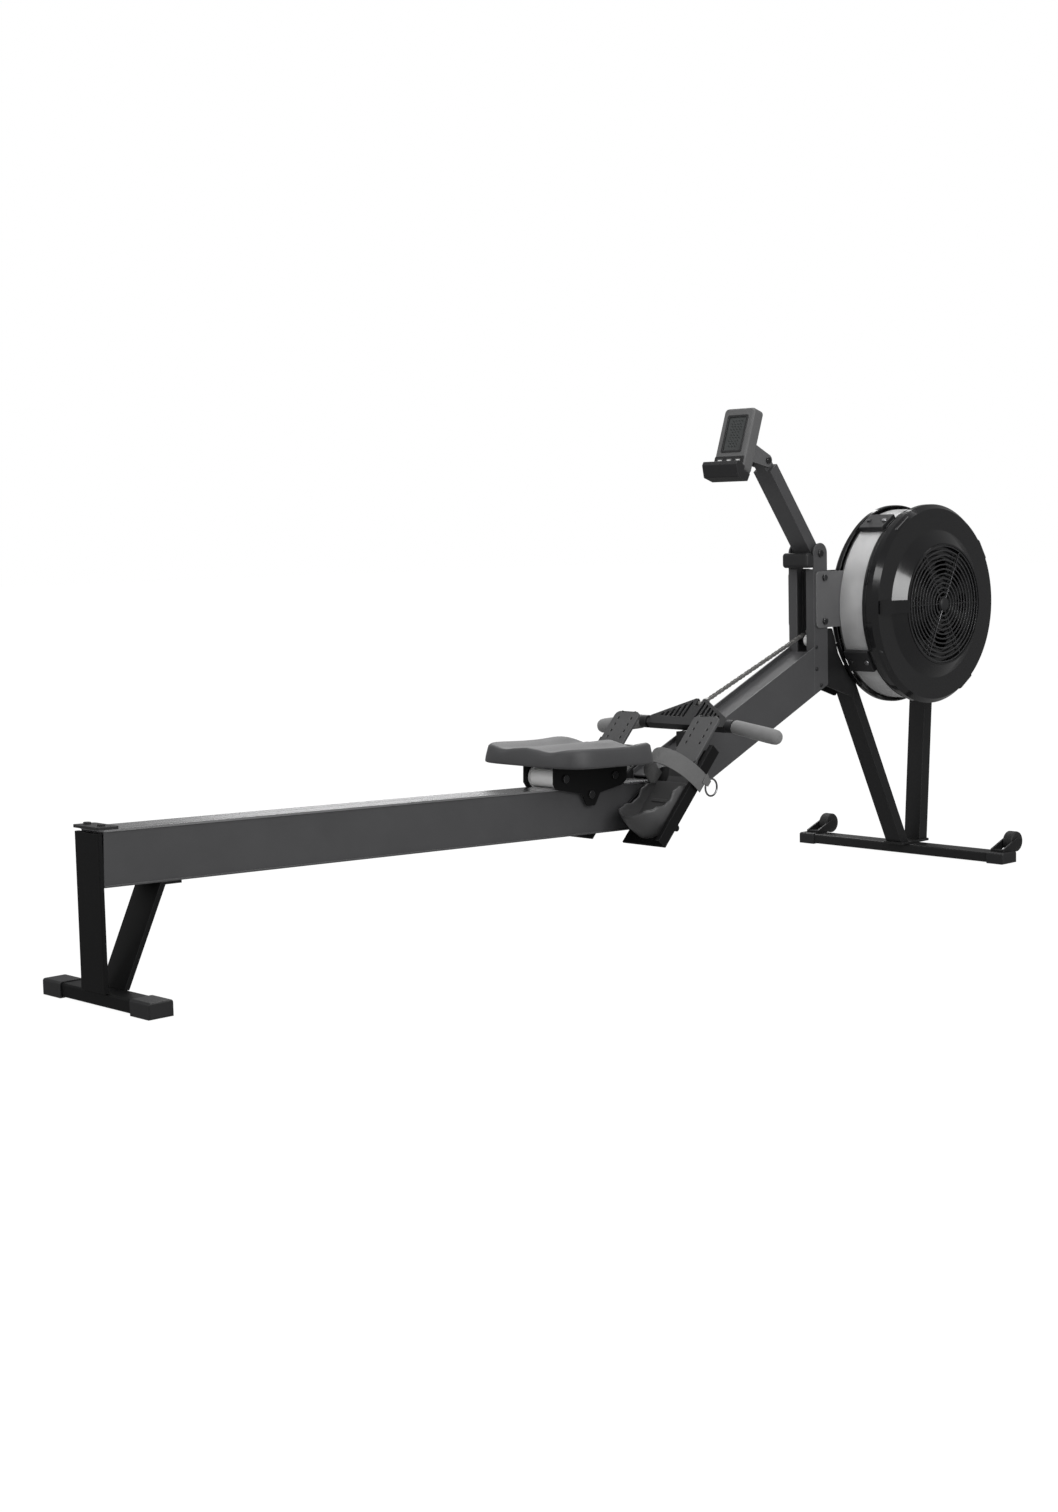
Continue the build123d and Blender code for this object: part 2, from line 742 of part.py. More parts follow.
chain_gate = (x_of(chain_gate_station), chain_gate_z)
link_lift = 67.0
chain_link = (
    x_of(1936) - link_lift * sin(beam_up),
    beam_under(1936) + link_lift * cos(beam_up),
)
hub_point = (hub_x, hub_z)
wrap_start = tangent_point(chain_gate, hub_point, sprocket_radius, -1)
wrap_end = tangent_point(chain_link, hub_point, sprocket_radius, 1)
with BuildPart() as chain_return:
    with BuildSketch(Plane.XZ):
        with BuildLine() as return_path:
            Line(chain_gate, wrap_start)
            ThreePointArc(wrap_start, (hub_x + sprocket_radius, hub_z), wrap_end)
            Line(wrap_end, chain_link)
        trace(line_width=chain_height)
    extrude(amount=chain_width / 2, both=True)
pieces["chain_return"] = chain_return

cord_side = pulley_radius
cord_upper = (pulley_x - cord_side * sin(beam_up), pulley_z + cord_side * cos(beam_up))
cord_lower = (pulley_x + cord_side * sin(beam_up), pulley_z - cord_side * cos(beam_up))
cord_run = hypot(chain_link[0] - cord_upper[0], chain_link[1] - cord_upper[1])
cord_anchor = (cord_lower[0] + (cord_run - 40) * cos(beam_up), cord_lower[1] + (cord_run - 40) * sin(beam_up))
cord_head = (chain_link[0] - 6 * cos(beam_up), chain_link[1] - 6 * sin(beam_up))
cord_turn = (pulley_x - cord_side * cos(beam_up), pulley_z - cord_side * sin(beam_up))
with BuildPart() as shock_cord:
    with BuildLine() as cord_path:
        Line((cord_head[0], 0, cord_head[1]), (cord_upper[0], 0, cord_upper[1]))
        ThreePointArc(
            (cord_upper[0], 0, cord_upper[1]),
            (cord_turn[0], 0, cord_turn[1]),
            (cord_lower[0], 0, cord_lower[1]),
        )
        Line((cord_lower[0], 0, cord_lower[1]), (cord_anchor[0], 0, cord_anchor[1]))
    with BuildSketch(cord_path.line ^ 0):
        Circle(cord_radius)
    sweep()
pieces["shock_cord"] = shock_cord

# ---- handle -------------------------------------------------------------------------
tilt = radians(handle_tilt)
handle_centre = Vector(x_of(handle_station), 0, handle_z)
pull_dir = Vector(cos(tilt), 0, sin(tilt))
handle_plane = Plane(origin=handle_centre, x_dir=(0, 1, 0), z_dir=(sin(tilt), 0, -cos(tilt)))
shackle_pin = handle_centre + pull_dir * shackle_reach
bar_radius, grip_radius, collar_radius = 8.0, 16.5, 14.0
grip_start, collar_start = 133.0, 116.0
frame_thickness = 18.0

grip_droop = radians(8.0)
droop_dir = Vector(-sin(radians(17.5)), 0, -cos(radians(17.5)))


def grip_plane(sign, along):
    """Plane across one drooping end of the bar, a given way along it from the bend."""
    run = Vector(0, sign * cos(grip_droop), 0) + droop_dir * sin(grip_droop)
    bend = handle_centre + Vector(0, sign * grip_start, 0)
    return Plane(origin=bend + run * along, z_dir=run)


grip_length = handle_half - 5 - grip_start
with BuildPart() as handle_bar:
    with BuildSketch(Plane(origin=(handle_centre.X, grip_start, handle_centre.Z), x_dir=(1, 0, 0),
                           z_dir=(0, -1, 0))):
        Circle(bar_radius)
    extrude(amount=2 * grip_start)
    for sign in (-1, 1):
        with BuildSketch(grip_plane(sign, 0)):
            Circle(bar_radius)
        extrude(amount=grip_length)
        with Locations((handle_centre.X, sign * grip_start, handle_centre.Z)):
            Sphere(bar_radius)

grip_gap, grip_end = 3.0, 5.0
with BuildPart() as handle_grips:
    for sign in (-1, 1):
        with BuildSketch(grip_plane(sign, grip_gap)):
            Circle(grip_radius)
            Circle(bar_radius, mode=Mode.SUBTRACT)
        extrude(amount=grip_length - grip_gap)
        with BuildSketch(grip_plane(sign, grip_length)):
            Circle(grip_radius - 2)
        extrude(amount=grip_end)
pieces["handle_grips"] = handle_grips

with BuildPart() as handle_collars:
    with BuildSketch(Plane(origin=(handle_centre.X, -collar_start, handle_centre.Z), x_dir=(1, 0, 0),
                           z_dir=(0, -1, 0))):
        Circle(collar_radius)
        Circle(bar_radius, mode=Mode.SUBTRACT)
    extrude(amount=grip_start - collar_start)
    mirror(about=Plane.XZ)
pieces["handle_bar"] = grouped(handle_bar, handle_collars)

frame_foot, frame_apex, apex_half = 112.0, shackle_reach + 8, 15.0
rung_count, rung_width, rail_width = 7, 5.0, 9.0
with BuildPart() as handle_frame:
    with BuildSketch(handle_plane.offset(-frame_thickness / 2)):
        with BuildLine():
            Polyline((-frame_foot, -11), (frame_foot, -11), (frame_foot, 12), (apex_half, frame_apex),
                     (-apex_half, frame_apex), (-frame_foot, 12), close=True)
        make_face()
        for sign in (-1, 1):
            rise = (frame_apex - 12) / (frame_foot - apex_half)
            for index in range(rung_count):
                near = frame_foot - 14 - index * 12.6
                far = near - 12.6 + rung_width
                near_top = 12 + rise * (frame_foot - near) - rail_width
                far_top = 12 + rise * (frame_foot - far) - rail_width
                if near_top > 14:
                    with BuildLine():
                        Polyline((sign * near, 12), (sign * far, 12), (sign * far, far_top),
                                 (sign * near, near_top), close=True)
                    make_face(mode=Mode.SUBTRACT)
    extrude(amount=frame_thickness)
    with BuildSketch(Plane(origin=(handle_centre.X, frame_foot + 1, handle_centre.Z), x_dir=(1, 0, 0),
                           z_dir=(0, -1, 0))):
        Circle(bar_radius)
    extrude(amount=2 * frame_foot + 2, mode=Mode.SUBTRACT)
    with BuildSketch(handle_plane.offset(-frame_thickness / 2)):
        with Locations((0, shackle_reach + 6)):
            Rectangle(13, 38)
    extrude(amount=frame_thickness, mode=Mode.SUBTRACT)
    pin_origin = (shackle_pin.X, apex_half + 1, shackle_pin.Z)
    with BuildSketch(Plane(origin=pin_origin, x_dir=(1, 0, 0), z_dir=(0, -1, 0))):
        Circle(3.05)
    extrude(amount=2 * apex_half + 2, mode=Mode.SUBTRACT)
pieces["handle_frame"] = handle_frame

chain_run_dir = (Vector(chain_gate[0], 0, chain_gate[1]) - shackle_pin).normalized()
shackle_length = 22.0
shackle_plane = Plane(origin=shackle_pin, x_dir=chain_run_dir, z_dir=(0, -1, 0))
with BuildPart() as chain_shackle:
    with BuildSketch(shackle_plane.offset(-5)):
        Circle(7)
        with Locations((shackle_length / 2, 0)):
            Rectangle(shackle_length, 9)
    extrude(amount=10)
    with BuildSketch(shackle_plane.offset(-apex_half)):
        Circle(3.0)
    extrude(amount=2 * apex_half)
pieces["chain_shackle"] = chain_shackle

chain_gap = 1.0
run_start = shackle_pin + chain_run_dir * (shackle_length + chain_gap)
with BuildPart() as chain_run:
    with BuildSketch(Plane.XZ):
        with BuildLine():
            Line((run_start.X, run_start.Z), chain_gate)
        trace(line_width=chain_height)
    extrude(amount=chain_width / 2, both=True)
    with Locations((chain_gate[0] + 60, 0, chain_gate[1])):
        Box(120, 40, 60, mode=Mode.SUBTRACT)
pieces["chain_run"] = chain_run

rest_half_y = 14.0
rest_top = handle_z - frame_thickness / 2 - 6.5
with BuildPart() as handle_rest:
    with BuildSketch(Plane.XZ):
        with BuildLine():
            Polyline(
                (x_of(1512), beam_over(1512, beam_recess)),
                (x_of(1556), beam_over(1556, beam_recess)),
                (x_of(1556), rest_top),
                (x_of(1512), rest_top),
                close=True,
            )
        make_face()
    extrude(amount=rest_half_y, both=True)
pieces["handle_rest"] = handle_rest

# ---- foot boards, heel cups and straps ------------------------------------------------
channel_height, channel_lip = 22.0, 10.0
with BuildPart() as board:
    with BuildSketch(board_plane(-board_centre_y, off=-board_thickness)):
        with Locations((board_length / 2, 0)):
            Rectangle(board_length, board_width)
    extrude(amount=board_thickness)
    with BuildSketch(board_plane(-board_centre_y)):
        with Locations((board_length / 2, -board_width / 2 + 1.5)):
            Rectangle(board_length, 3)
    extrude(amount=channel_height)
    with BuildSketch(board_plane(-board_centre_y, off=channel_height - 3)):
        with Locations((board_length / 2, -board_width / 2 + channel_lip / 2)):
            Rectangle(board_length, channel_lip)
    extrude(amount=3)

stay_radius, stay_start = 7.0, frame_half + joint_plate_thickness


def board_stays():
    """Round stays from the frame's side to the back of one foot board."""
    with BuildPart() as stays:
        for up in (55, 190):
            spot = board_plane(0, up=up, off=-board_thickness - stay_radius).origin
            with BuildSketch(side(-stay_start)):
                with Locations((spot.X, spot.Z)):
                    Circle(stay_radius)
            extrude(amount=board_centre_y + board_width / 2 - stay_start - 6)
    return stays


footboard_stays = on_both_sides(board_stays)
pieces["footboards"] = grouped(board, mirrored(board), footboard_stays)

heel_radius, cup_wall, heel_up = 43.0, 5.0, 60.0
sole_bottom, sole_top = 0.6, 10.0
cup_height, cup_front = 76.0, 150.0
toe_width, toe_start, toe_end, toe_off, toe_thickness = 72.0, 190.0, 318.0, 24.0, 7.0
toe_shift = 15.0
inner_shift = 4.0
with BuildPart() as heel_cup_right:
    cup_y = -board_centre_y + inner_shift
    with BuildSketch(board_plane(cup_y, off=sole_bottom)):
        with Locations((heel_up, 0)):
            Circle(heel_radius + cup_wall)
        with Locations(((heel_up + cup_front) / 2, 0)):
            Rectangle(cup_front - heel_up, 2 * (heel_radius + cup_wall))
    extrude(amount=cup_height)
    with BuildSketch(board_plane(cup_y, off=sole_top)):
        with Locations((heel_up, 0)):
            Circle(heel_radius)
        with Locations(((heel_up + cup_front) / 2 + 20, 0)):
            Rectangle(cup_front - heel_up + 40, 2 * heel_radius)
    extrude(amount=cup_height, mode=Mode.SUBTRACT)
    profile_plane = board_plane(cup_y)
    cut_plane = Plane(origin=profile_plane.origin, x_dir=profile_plane.x_dir, z_dir=(0, -1, 0))
    with BuildSketch(cut_plane.offset(-80)):
        with BuildLine():
            Polyline((heel_up - 10, cup_height + 5), (cup_front + 5, cup_height + 5), (cup_front + 5, 16),
                     (heel_up + 36, 30), close=True)
        make_face()
    extrude(amount=160, mode=Mode.SUBTRACT)
    with BuildSketch(cut_plane.offset(toe_shift - toe_width / 2)):
        with BuildLine():
            Polyline((cup_front - 12, sole_bottom), (cup_front + 20, sole_bottom),
                     (toe_start + 10, toe_off), (toe_end, toe_off), (toe_end, toe_off + toe_thickness),
                     (toe_start, toe_off + toe_thickness), (cup_front + 5, sole_top),
                     (cup_front - 12, sole_top), close=True)
        make_face()
    extrude(amount=toe_width)
    with BuildSketch(board_plane(cup_y - toe_shift, off=toe_off - 1)):
        with Locations(((toe_start + toe_end) / 2 + 22, 0)):
            with GridLocations(17, 38, 4, 2):
                SlotOverall(7, 4.2)
    extrude(amount=toe_thickness + 2, mode=Mode.SUBTRACT)
heel_cup_left = mirrored(heel_cup_right)
pieces["heel_cup_right"] = heel_cup_right
pieces["heel_cup_left"] = heel_cup_left

strap_width, strap_thickness, strap_up = 40.0, 2.4, 165.0
strap_half, strap_rise, strap_shift = 66.0, 92.0, 2.5
ring_radius, ring_wire = 18.0, 2.0
with BuildPart() as strap_right:
    strap_origin = board_plane(-board_centre_y - strap_shift, up=strap_up).origin
    strap_plane = Plane(origin=strap_origin, x_dir=(0, 1, 0), z_dir=(cos(board_up), 0, sin(board_up)))
    with BuildSketch(strap_plane.offset(-strap_width / 2)):
        Ellipse(strap_half, strap_rise)
        Ellipse(strap_half - strap_thickness, strap_rise - strap_thickness, mode=Mode.SUBTRACT)
        with Locations((0, -strap_rise - 6)):
            Rectangle(3 * strap_half, 2 * strap_rise, mode=Mode.SUBTRACT)
    extrude(amount=strap_width)
strap_left = mirrored(strap_right)
pieces["foot_straps"] = grouped(strap_right, strap_left)


def strap_ring():
    """The pull ring at one strap's outer end."""
    centre = board_plane(-board_centre_y, up=176, off=-28).origin
    ring_y = -board_centre_y - strap_shift - strap_half + 3
    with BuildPart() as ring:
        with BuildSketch(Plane(origin=(centre.X, ring_y, centre.Z),
                               x_dir=(1, 0, 0), z_dir=(0, 0, 1))):
            with Locations((ring_radius, 0)):
                Circle(ring_wire)
        revolve(axis=Axis((centre.X, ring_y, centre.Z), (0, 1, 0)))
    return ring


strap_rings = on_both_sides(strap_ring)
pieces["strap_rings"] = strap_rings

# ---- seat ---------------------------------------------------------------------------
seat_mid = (seat_rear_station + seat_front_station) / 2
seat_length = seat_front_station - seat_rear_station
seat_origin = along_rail(seat_mid, seat_under)
seat_plane = Plane(
    origin=(seat_origin[0], 0, seat_origin[1]),
    x_dir=(cos(rail_down), 0, -sin(rail_down)),
    z_dir=(sin(rail_down), 0, cos(rail_down)),
)
with BuildPart() as seat_pad:
    with BuildSketch(seat_plane):
        RectangleRounded(seat_length, 2 * seat_half, 45)
    extrude(amount=seat_thickness)
    fillet(seat_pad.faces().sort_by(Axis.Z)[-1].edges(), 12)
pieces["seat_pad"] = seat_pad

deck_thickness = 3.0
deck_half = carriage_gap + carriage_wall
axle_bolt_radius = 5.0
with BuildPart() as seat_carriage:
    with BuildSketch(seat_plane.offset(-deck_thickness)):
        with Locations((2.5, 0)):
            Rectangle(215, 2 * deck_half)
    extrude(amount=deck_thickness)
    for sign in (-1, 1):
        y_face = carriage_gap + carriage_wall if sign > 0 else -carriage_gap
        with BuildSketch(side(y_face)):
            with BuildLine():
                Polyline(
                    along_rail(1078, seat_under - 1),
                    along_rail(1078, 10),
                    along_rail(1086, -1),
                    along_rail(1160, -14),
                    along_rail(1176, -40),
                    along_rail(1198, -40),
                    along_rail(1214, -14),
                    along_rail(1282, -1),
                    along_rail(1293, 12),
                    along_rail(1293, seat_under - 1),
                    close=True,
                )
            make_face()
            for station in top_roller_stations:
                with Locations(along_rail(station, top_roller_radius + 0.3)):
                    Circle(axle_bolt_radius, mode=Mode.SUBTRACT)
            with Locations(along_rail(guide_roller_station, -track_thickness - guide_roller_radius - 0.4)):
                Circle(axle_bolt_radius, mode=Mode.SUBTRACT)
        extrude(amount=carriage_wall)
pieces["seat_carriage"] = seat_carriage


def roller(station, lift, profile):
    """A roller turned about its own axle from (radius, Y) points."""
    x, z = along_rail(station, lift)
    with BuildPart() as wheel:
        with BuildSketch(Plane(origin=(x, 0, z), x_dir=(1, 0, 0), z_dir=(0, 0, 1))):
            with BuildLine():
                Polyline(*profile, close=True)
            make_face()
        revolve(axis=Axis((x, 0, z), (0, 1, 0)))
    return wheel


roller_bore = axle_bolt_radius + running_gap
flange_radius, flange_inner, flange_outer = 22.5, frame_half + 0.6, carriage_gap - 0.6
top_profile = [
    (roller_bore, -flange_outer),
    (flange_radius, -flange_outer),
    (flange_radius, -flange_inner),
    (top_roller_radius, -flange_inner + 0.3),
    (top_roller_radius, flange_inner - 0.3),
    (flange_radius, flange_inner),
    (flange_radius, flange_outer),
    (roller_bore, flange_outer),
]
top_roller_rear = roller(top_roller_stations[0], top_roller_radius + 0.3, top_profile)
top_roller_front = roller(top_roller_stations[1], top_roller_radius + 0.3, top_profile)
pieces["top_roller_rear"] = top_roller_rear
pieces["top_roller_front"] = top_roller_front

guide_lift = -track_thickness - guide_roller_radius - 0.4
guide_inner, guide_outer = -rail_box_half - 0.4, -carriage_gap + 0.6
guide_profile = [
    (roller_bore, guide_inner),
    (guide_roller_radius, guide_inner),
    (guide_roller_radius, guide_outer),
    (roller_bore, guide_outer),
]
guide_roller_right = roller(guide_roller_station, guide_lift, guide_profile)
guide_roller_left = mirrored(guide_roller_right)
pieces["guide_rollers"] = grouped(guide_roller_right, guide_roller_left)

bolt_head_radius, bolt_head_height = 8.0, 4.0
with BuildPart() as carriage_axles:
    head_y = carriage_gap + carriage_wall
    for station in top_roller_stations:
        with BuildSketch(side(head_y)):
            with Locations(along_rail(station, top_roller_radius + 0.3)):
                Circle(axle_bolt_radius - 0.01)
        extrude(amount=2 * head_y)
    for sign in (-1, 1):
        y_start = -rail_box_half - 0.6 if sign < 0 else head_y
        with BuildSketch(side(y_start)):
            with Locations(along_rail(guide_roller_station, guide_lift)):
                Circle(axle_bolt_radius - 0.01)
        extrude(amount=head_y - rail_box_half - 0.6)
        y_head = -head_y if sign < 0 else head_y + bolt_head_height
        with BuildSketch(side(y_head)):
            for station, lift in [(s, top_roller_radius + 0.3) for s in top_roller_stations] + [
                (guide_roller_station, guide_lift)
            ]:
                with Locations(along_rail(station, lift)):
                    Circle(bolt_head_radius)
        extrude(amount=bolt_head_height)
pieces["carriage_axles"] = carriage_axles

# ---- monitor arm --------------------------------------------------------------------
arm_reach = hypot(arm_tip_station - upright_pivot_station, arm_tip_z - arm_pivot_z)
arm_dir = Vector(
    (arm_tip_station - upright_pivot_station) / arm_reach, 0, (arm_tip_z - arm_pivot_z) / arm_reach
)
arm_plane = Plane(origin=(x_of(upright_pivot_station), 0, arm_pivot_z), x_dir=arm_dir, z_dir=(0, -1, 0))
tip_half, cheek_thickness = 14.0, 4.0
with BuildPart() as monitor_arm:
    with BuildSketch(arm_plane):
        with Locations((arm_reach / 2 - 10, 0)):
            Rectangle(arm_reach - 20, arm_depth)
        Circle(arm_depth / 2)
        Circle(pivot_hole_radius, mode=Mode.SUBTRACT)
    extrude(amount=arm_width / 2, both=True)
    with BuildSketch(arm_plane):
        with Locations((arm_reach - 20, 0)):
            Rectangle(40, arm_depth)
        with Locations((arm_reach, 0)):
            Circle(arm_depth / 2)
            Circle(pivot_hole_radius, mode=Mode.SUBTRACT)
    extrude(amount=tip_half, both=True)
    with BuildSketch(arm_plane):
        with Locations((arm_reach / 2, 0)):
            Rectangle(arm_reach - 70, arm_depth - 5)
    extrude(amount=arm_width / 2 - 2.5, both=True, mode=Mode.SUBTRACT)
pieces["monitor_arm"] = monitor_arm

lean = radians(monitor_lean)
monitor_plane = Plane(
    origin=(x_of(monitor_station), 0, monitor_z), x_dir=(0, -1, 0), z_dir=(-cos(lean), 0, sin(lean))
)
tip = Vector(x_of(arm_tip_station), 0, arm_tip_z) - monitor_plane.origin
tip_up = tip.dot(monitor_plane.y_dir)
tip_back = tip.dot(monitor_plane.z_dir)
bracket_width, bracket_height = 52.0, 52.0
cheek_gap = tip_half + 1.0

with BuildPart() as monitor_bracket:
    with BuildSketch(monitor_plane.offset(-monitor_depth)):
        with Locations((0, tip_up)):
            RectangleRounded(bracket_width, bracket_height, 4)
    extrude(amount=-cheek_thickness)
    cheek_plane = Plane(origin=monitor_plane.origin, x_dir=-monitor_plane.z_dir, z_dir=(0, -1, 0))
    for offset in (cheek_gap, -cheek_gap - cheek_thickness):
        with BuildSketch(cheek_plane.offset(offset)):
            with BuildLine():
                back = monitor_depth + cheek_thickness - 1
                Polyline((back, tip_up + 22), (-tip_back, tip_up + 14), (-tip_back, tip_up - 14),
                         (back, tip_up - 22), close=True)
            make_face()
            with Locations((-tip_back, tip_up)):
                Circle(14)
                Circle(pivot_hole_radius, mode=Mode.SUBTRACT)
        extrude(amount=cheek_thickness)
pieces["monitor_bracket"] = monitor_bracket

screen_width, screen_height, screen_up = 52.0, 80.0, 86.0
button_up, button_pitch, button_size = 24.0, 26.0, (16.0, 8.0)
button_travel, button_play = 1.2, 0.4
with BuildPart() as monitor_case:
    with BuildSketch(monitor_plane):
        with Locations((0, monitor_height / 2)):
            RectangleRounded(monitor_width, monitor_height, 10)
    extrude(amount=-monitor_depth)
    fillet(monitor_case.faces().sort_by(Axis.X)[-1].edges(), 5)
    with BuildSketch(monitor_plane):
        with Locations((0, screen_up)):
            Rectangle(screen_width, screen_height)
    extrude(amount=-2, mode=Mode.SUBTRACT)
    with BuildSketch(monitor_plane):
        with Locations((0, button_up)):
            with GridLocations(button_pitch, 0, 3, 1):
                Rectangle(button_size[0] + 2 * button_play, button_size[1] + 2 * button_play)
    extrude(amount=-8, mode=Mode.SUBTRACT)
pieces["monitor_case"] = monitor_case

with BuildPart() as screen:
    with BuildSketch(monitor_plane.offset(-2)):
        with Locations((0, screen_up)):
            Rectangle(screen_width, screen_height)
    extrude(amount=1.2)
pieces["screen"] = screen

for index, name in enumerate(("button_left", "button_middle", "button_right")):
    with BuildPart() as button:
        with BuildSketch(monitor_plane.offset(button_travel)):
            with Locations(((index - 1) * button_pitch, button_up)):
                Rectangle(*button_size)
        extrude(amount=-button_travel - 6)
        fillet(button.edges().group_by(SortBy.LENGTH)[0], 1.5)
    pieces[name] = button

ledge_half, ledge_out, ledge_drop = 50.0, 26.0, 24.0
with BuildPart() as monitor_ledge:
    with BuildSketch(Plane(origin=monitor_plane.origin, x_dir=monitor_plane.z_dir, z_dir=(0, 1, 0))):
        with BuildLine():
            Polyline((0.2, 10), (ledge_out, 14), (ledge_out + 2, 4), (14, -ledge_drop + 4),
                     (-18, -ledge_drop + 4), (-22, -0.2), (0.2, -0.2), close=True)
        make_face()
    extrude(amount=ledge_half, both=True)
    fillet(monitor_ledge.edges().filter_by(Axis.Y), 3)
pieces["monitor_ledge"] = monitor_ledge

# ---- pivot bolts and other fasteners --------------------------------------------------
with BuildPart() as arm_bolt:
    with BuildSketch(side(frame_half + bolt_head_height)):
        with Locations((x_of(upright_pivot_station), arm_pivot_z)):
            Circle(pivot_bolt_radius)
    extrude(amount=2 * (frame_half + bolt_head_height))
    for y_face in (frame_half + bolt_head_height, -frame_half):
        with BuildSketch(side(y_face)):
            with Locations((x_of(upright_pivot_station), arm_pivot_z)):
                RegularPolygon(9, 6)
        extrude(amount=bolt_head_height)

tilt_half = cheek_gap + cheek_thickness
with BuildPart() as tilt_bolt:
    with BuildSketch(side(tilt_half + bolt_head_height)):
        with Locations((x_of(arm_tip_station), arm_tip_z)):
            Circle(pivot_bolt_radius)
    extrude(amount=2 * (tilt_half + bolt_head_height))
    for y_face in (tilt_half + bolt_head_height, -tilt_half):
        with BuildSketch(side(y_face)):
            with Locations((x_of(arm_tip_station), arm_tip_z)):
                RegularPolygon(8, 6)
        extrude(amount=bolt_head_height)
pieces["tilt_bolt"] = tilt_bolt

fork_bolts = [(upright_mid + 8, 578), (upright_mid + 8, 678)]
plate_bolts = [(1352, 208), (1372, 182), (1455, 222), (1486, 280)]
with BuildPart() as frame_bolts:
    fork_face = -frame_half - fork_thickness
    plate_face = -frame_half - joint_plate_thickness
    for spots, y_face in ((fork_bolts, fork_face), (plate_bolts, plate_face)):
        with BuildSketch(side(y_face)):
            for station, z in spots:
                with Locations((x_of(station), z)):
                    RegularPolygon(8, 6)
        extrude(amount=5)
    mirror(about=Plane.XZ)
pieces["frame_bolts"] = grouped(frame_bolts, arm_bolt)

os.makedirs("parts", exist_ok=True)
for name, piece in pieces.items():
    piece.part.label = name
    export_step(piece.part, f"parts/{name}.step")
print(len(pieces), "pieces")
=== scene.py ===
import math

import bmesh
import bpy
from mathutils import Matrix, Vector


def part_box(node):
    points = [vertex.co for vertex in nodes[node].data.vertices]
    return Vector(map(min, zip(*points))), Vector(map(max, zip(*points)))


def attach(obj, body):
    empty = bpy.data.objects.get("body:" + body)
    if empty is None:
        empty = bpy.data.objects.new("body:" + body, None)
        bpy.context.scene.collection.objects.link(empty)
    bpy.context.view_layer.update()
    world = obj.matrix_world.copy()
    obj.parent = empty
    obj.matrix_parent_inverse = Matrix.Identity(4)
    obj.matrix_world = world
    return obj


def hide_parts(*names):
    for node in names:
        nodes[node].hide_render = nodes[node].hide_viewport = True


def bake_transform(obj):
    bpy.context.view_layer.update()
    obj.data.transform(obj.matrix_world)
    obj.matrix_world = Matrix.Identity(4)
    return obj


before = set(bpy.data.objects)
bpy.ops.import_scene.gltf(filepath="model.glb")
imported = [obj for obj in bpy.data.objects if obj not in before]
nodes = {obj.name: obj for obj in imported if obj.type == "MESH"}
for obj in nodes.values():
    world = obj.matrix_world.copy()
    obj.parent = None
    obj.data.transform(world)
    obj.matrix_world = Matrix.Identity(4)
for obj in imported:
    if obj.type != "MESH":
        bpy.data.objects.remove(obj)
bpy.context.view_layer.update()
MM = 0.001


def x_of(station):
    """Frame X in metres of a place measured in millimetres from the rear end."""
    return (station - 1234.0) * MM


# ---- camera, floor and lights ---------------------------------------------------------
def make_camera():
    yaw, pitch, roll = (math.radians(a) for a in (-43.82, 5.96, -1.26))
    ahead = Vector((-math.sin(yaw) * math.cos(pitch), math.cos(yaw) * math.cos(pitch), -math.sin(pitch)))
    right = Vector((math.cos(yaw), math.sin(yaw), 0))
    up = right.cross(ahead)
    right_rolled = right * math.cos(roll) + up * math.sin(roll)
    up_rolled = -right * math.sin(roll) + up * math.cos(roll)
    data = bpy.data.cameras.new("camera")
    data.sensor_width = 36.0
    data.lens = 52.98
    data.shift_x, data.shift_y = -0.0046, 0.0026
    data.clip_end = 100.0
    camera = bpy.data.objects.new("camera", data)
    bpy.context.scene.collection.objects.link(camera)
    camera.matrix_world = Matrix.Translation((-3.2871, -3.2579, 0.8059)) @ Matrix(
        (right_rolled, up_rolled, -ahead)
    ).transposed().to_4x4()
    bpy.context.scene.camera = camera


def soft_light(name, place, target, size, power):
    data = bpy.data.lights.new(name, "AREA")
    data.shape = "RECTANGLE"
    data.size, data.size_y = size
    data.energy = power
    lamp = bpy.data.objects.new(name, data)
    bpy.context.scene.collection.objects.link(lamp)
    lamp.location = place
    lamp.rotation_euler = (Vector(target) - Vector(place)).to_track_quat("-Z", "Y").to_euler()


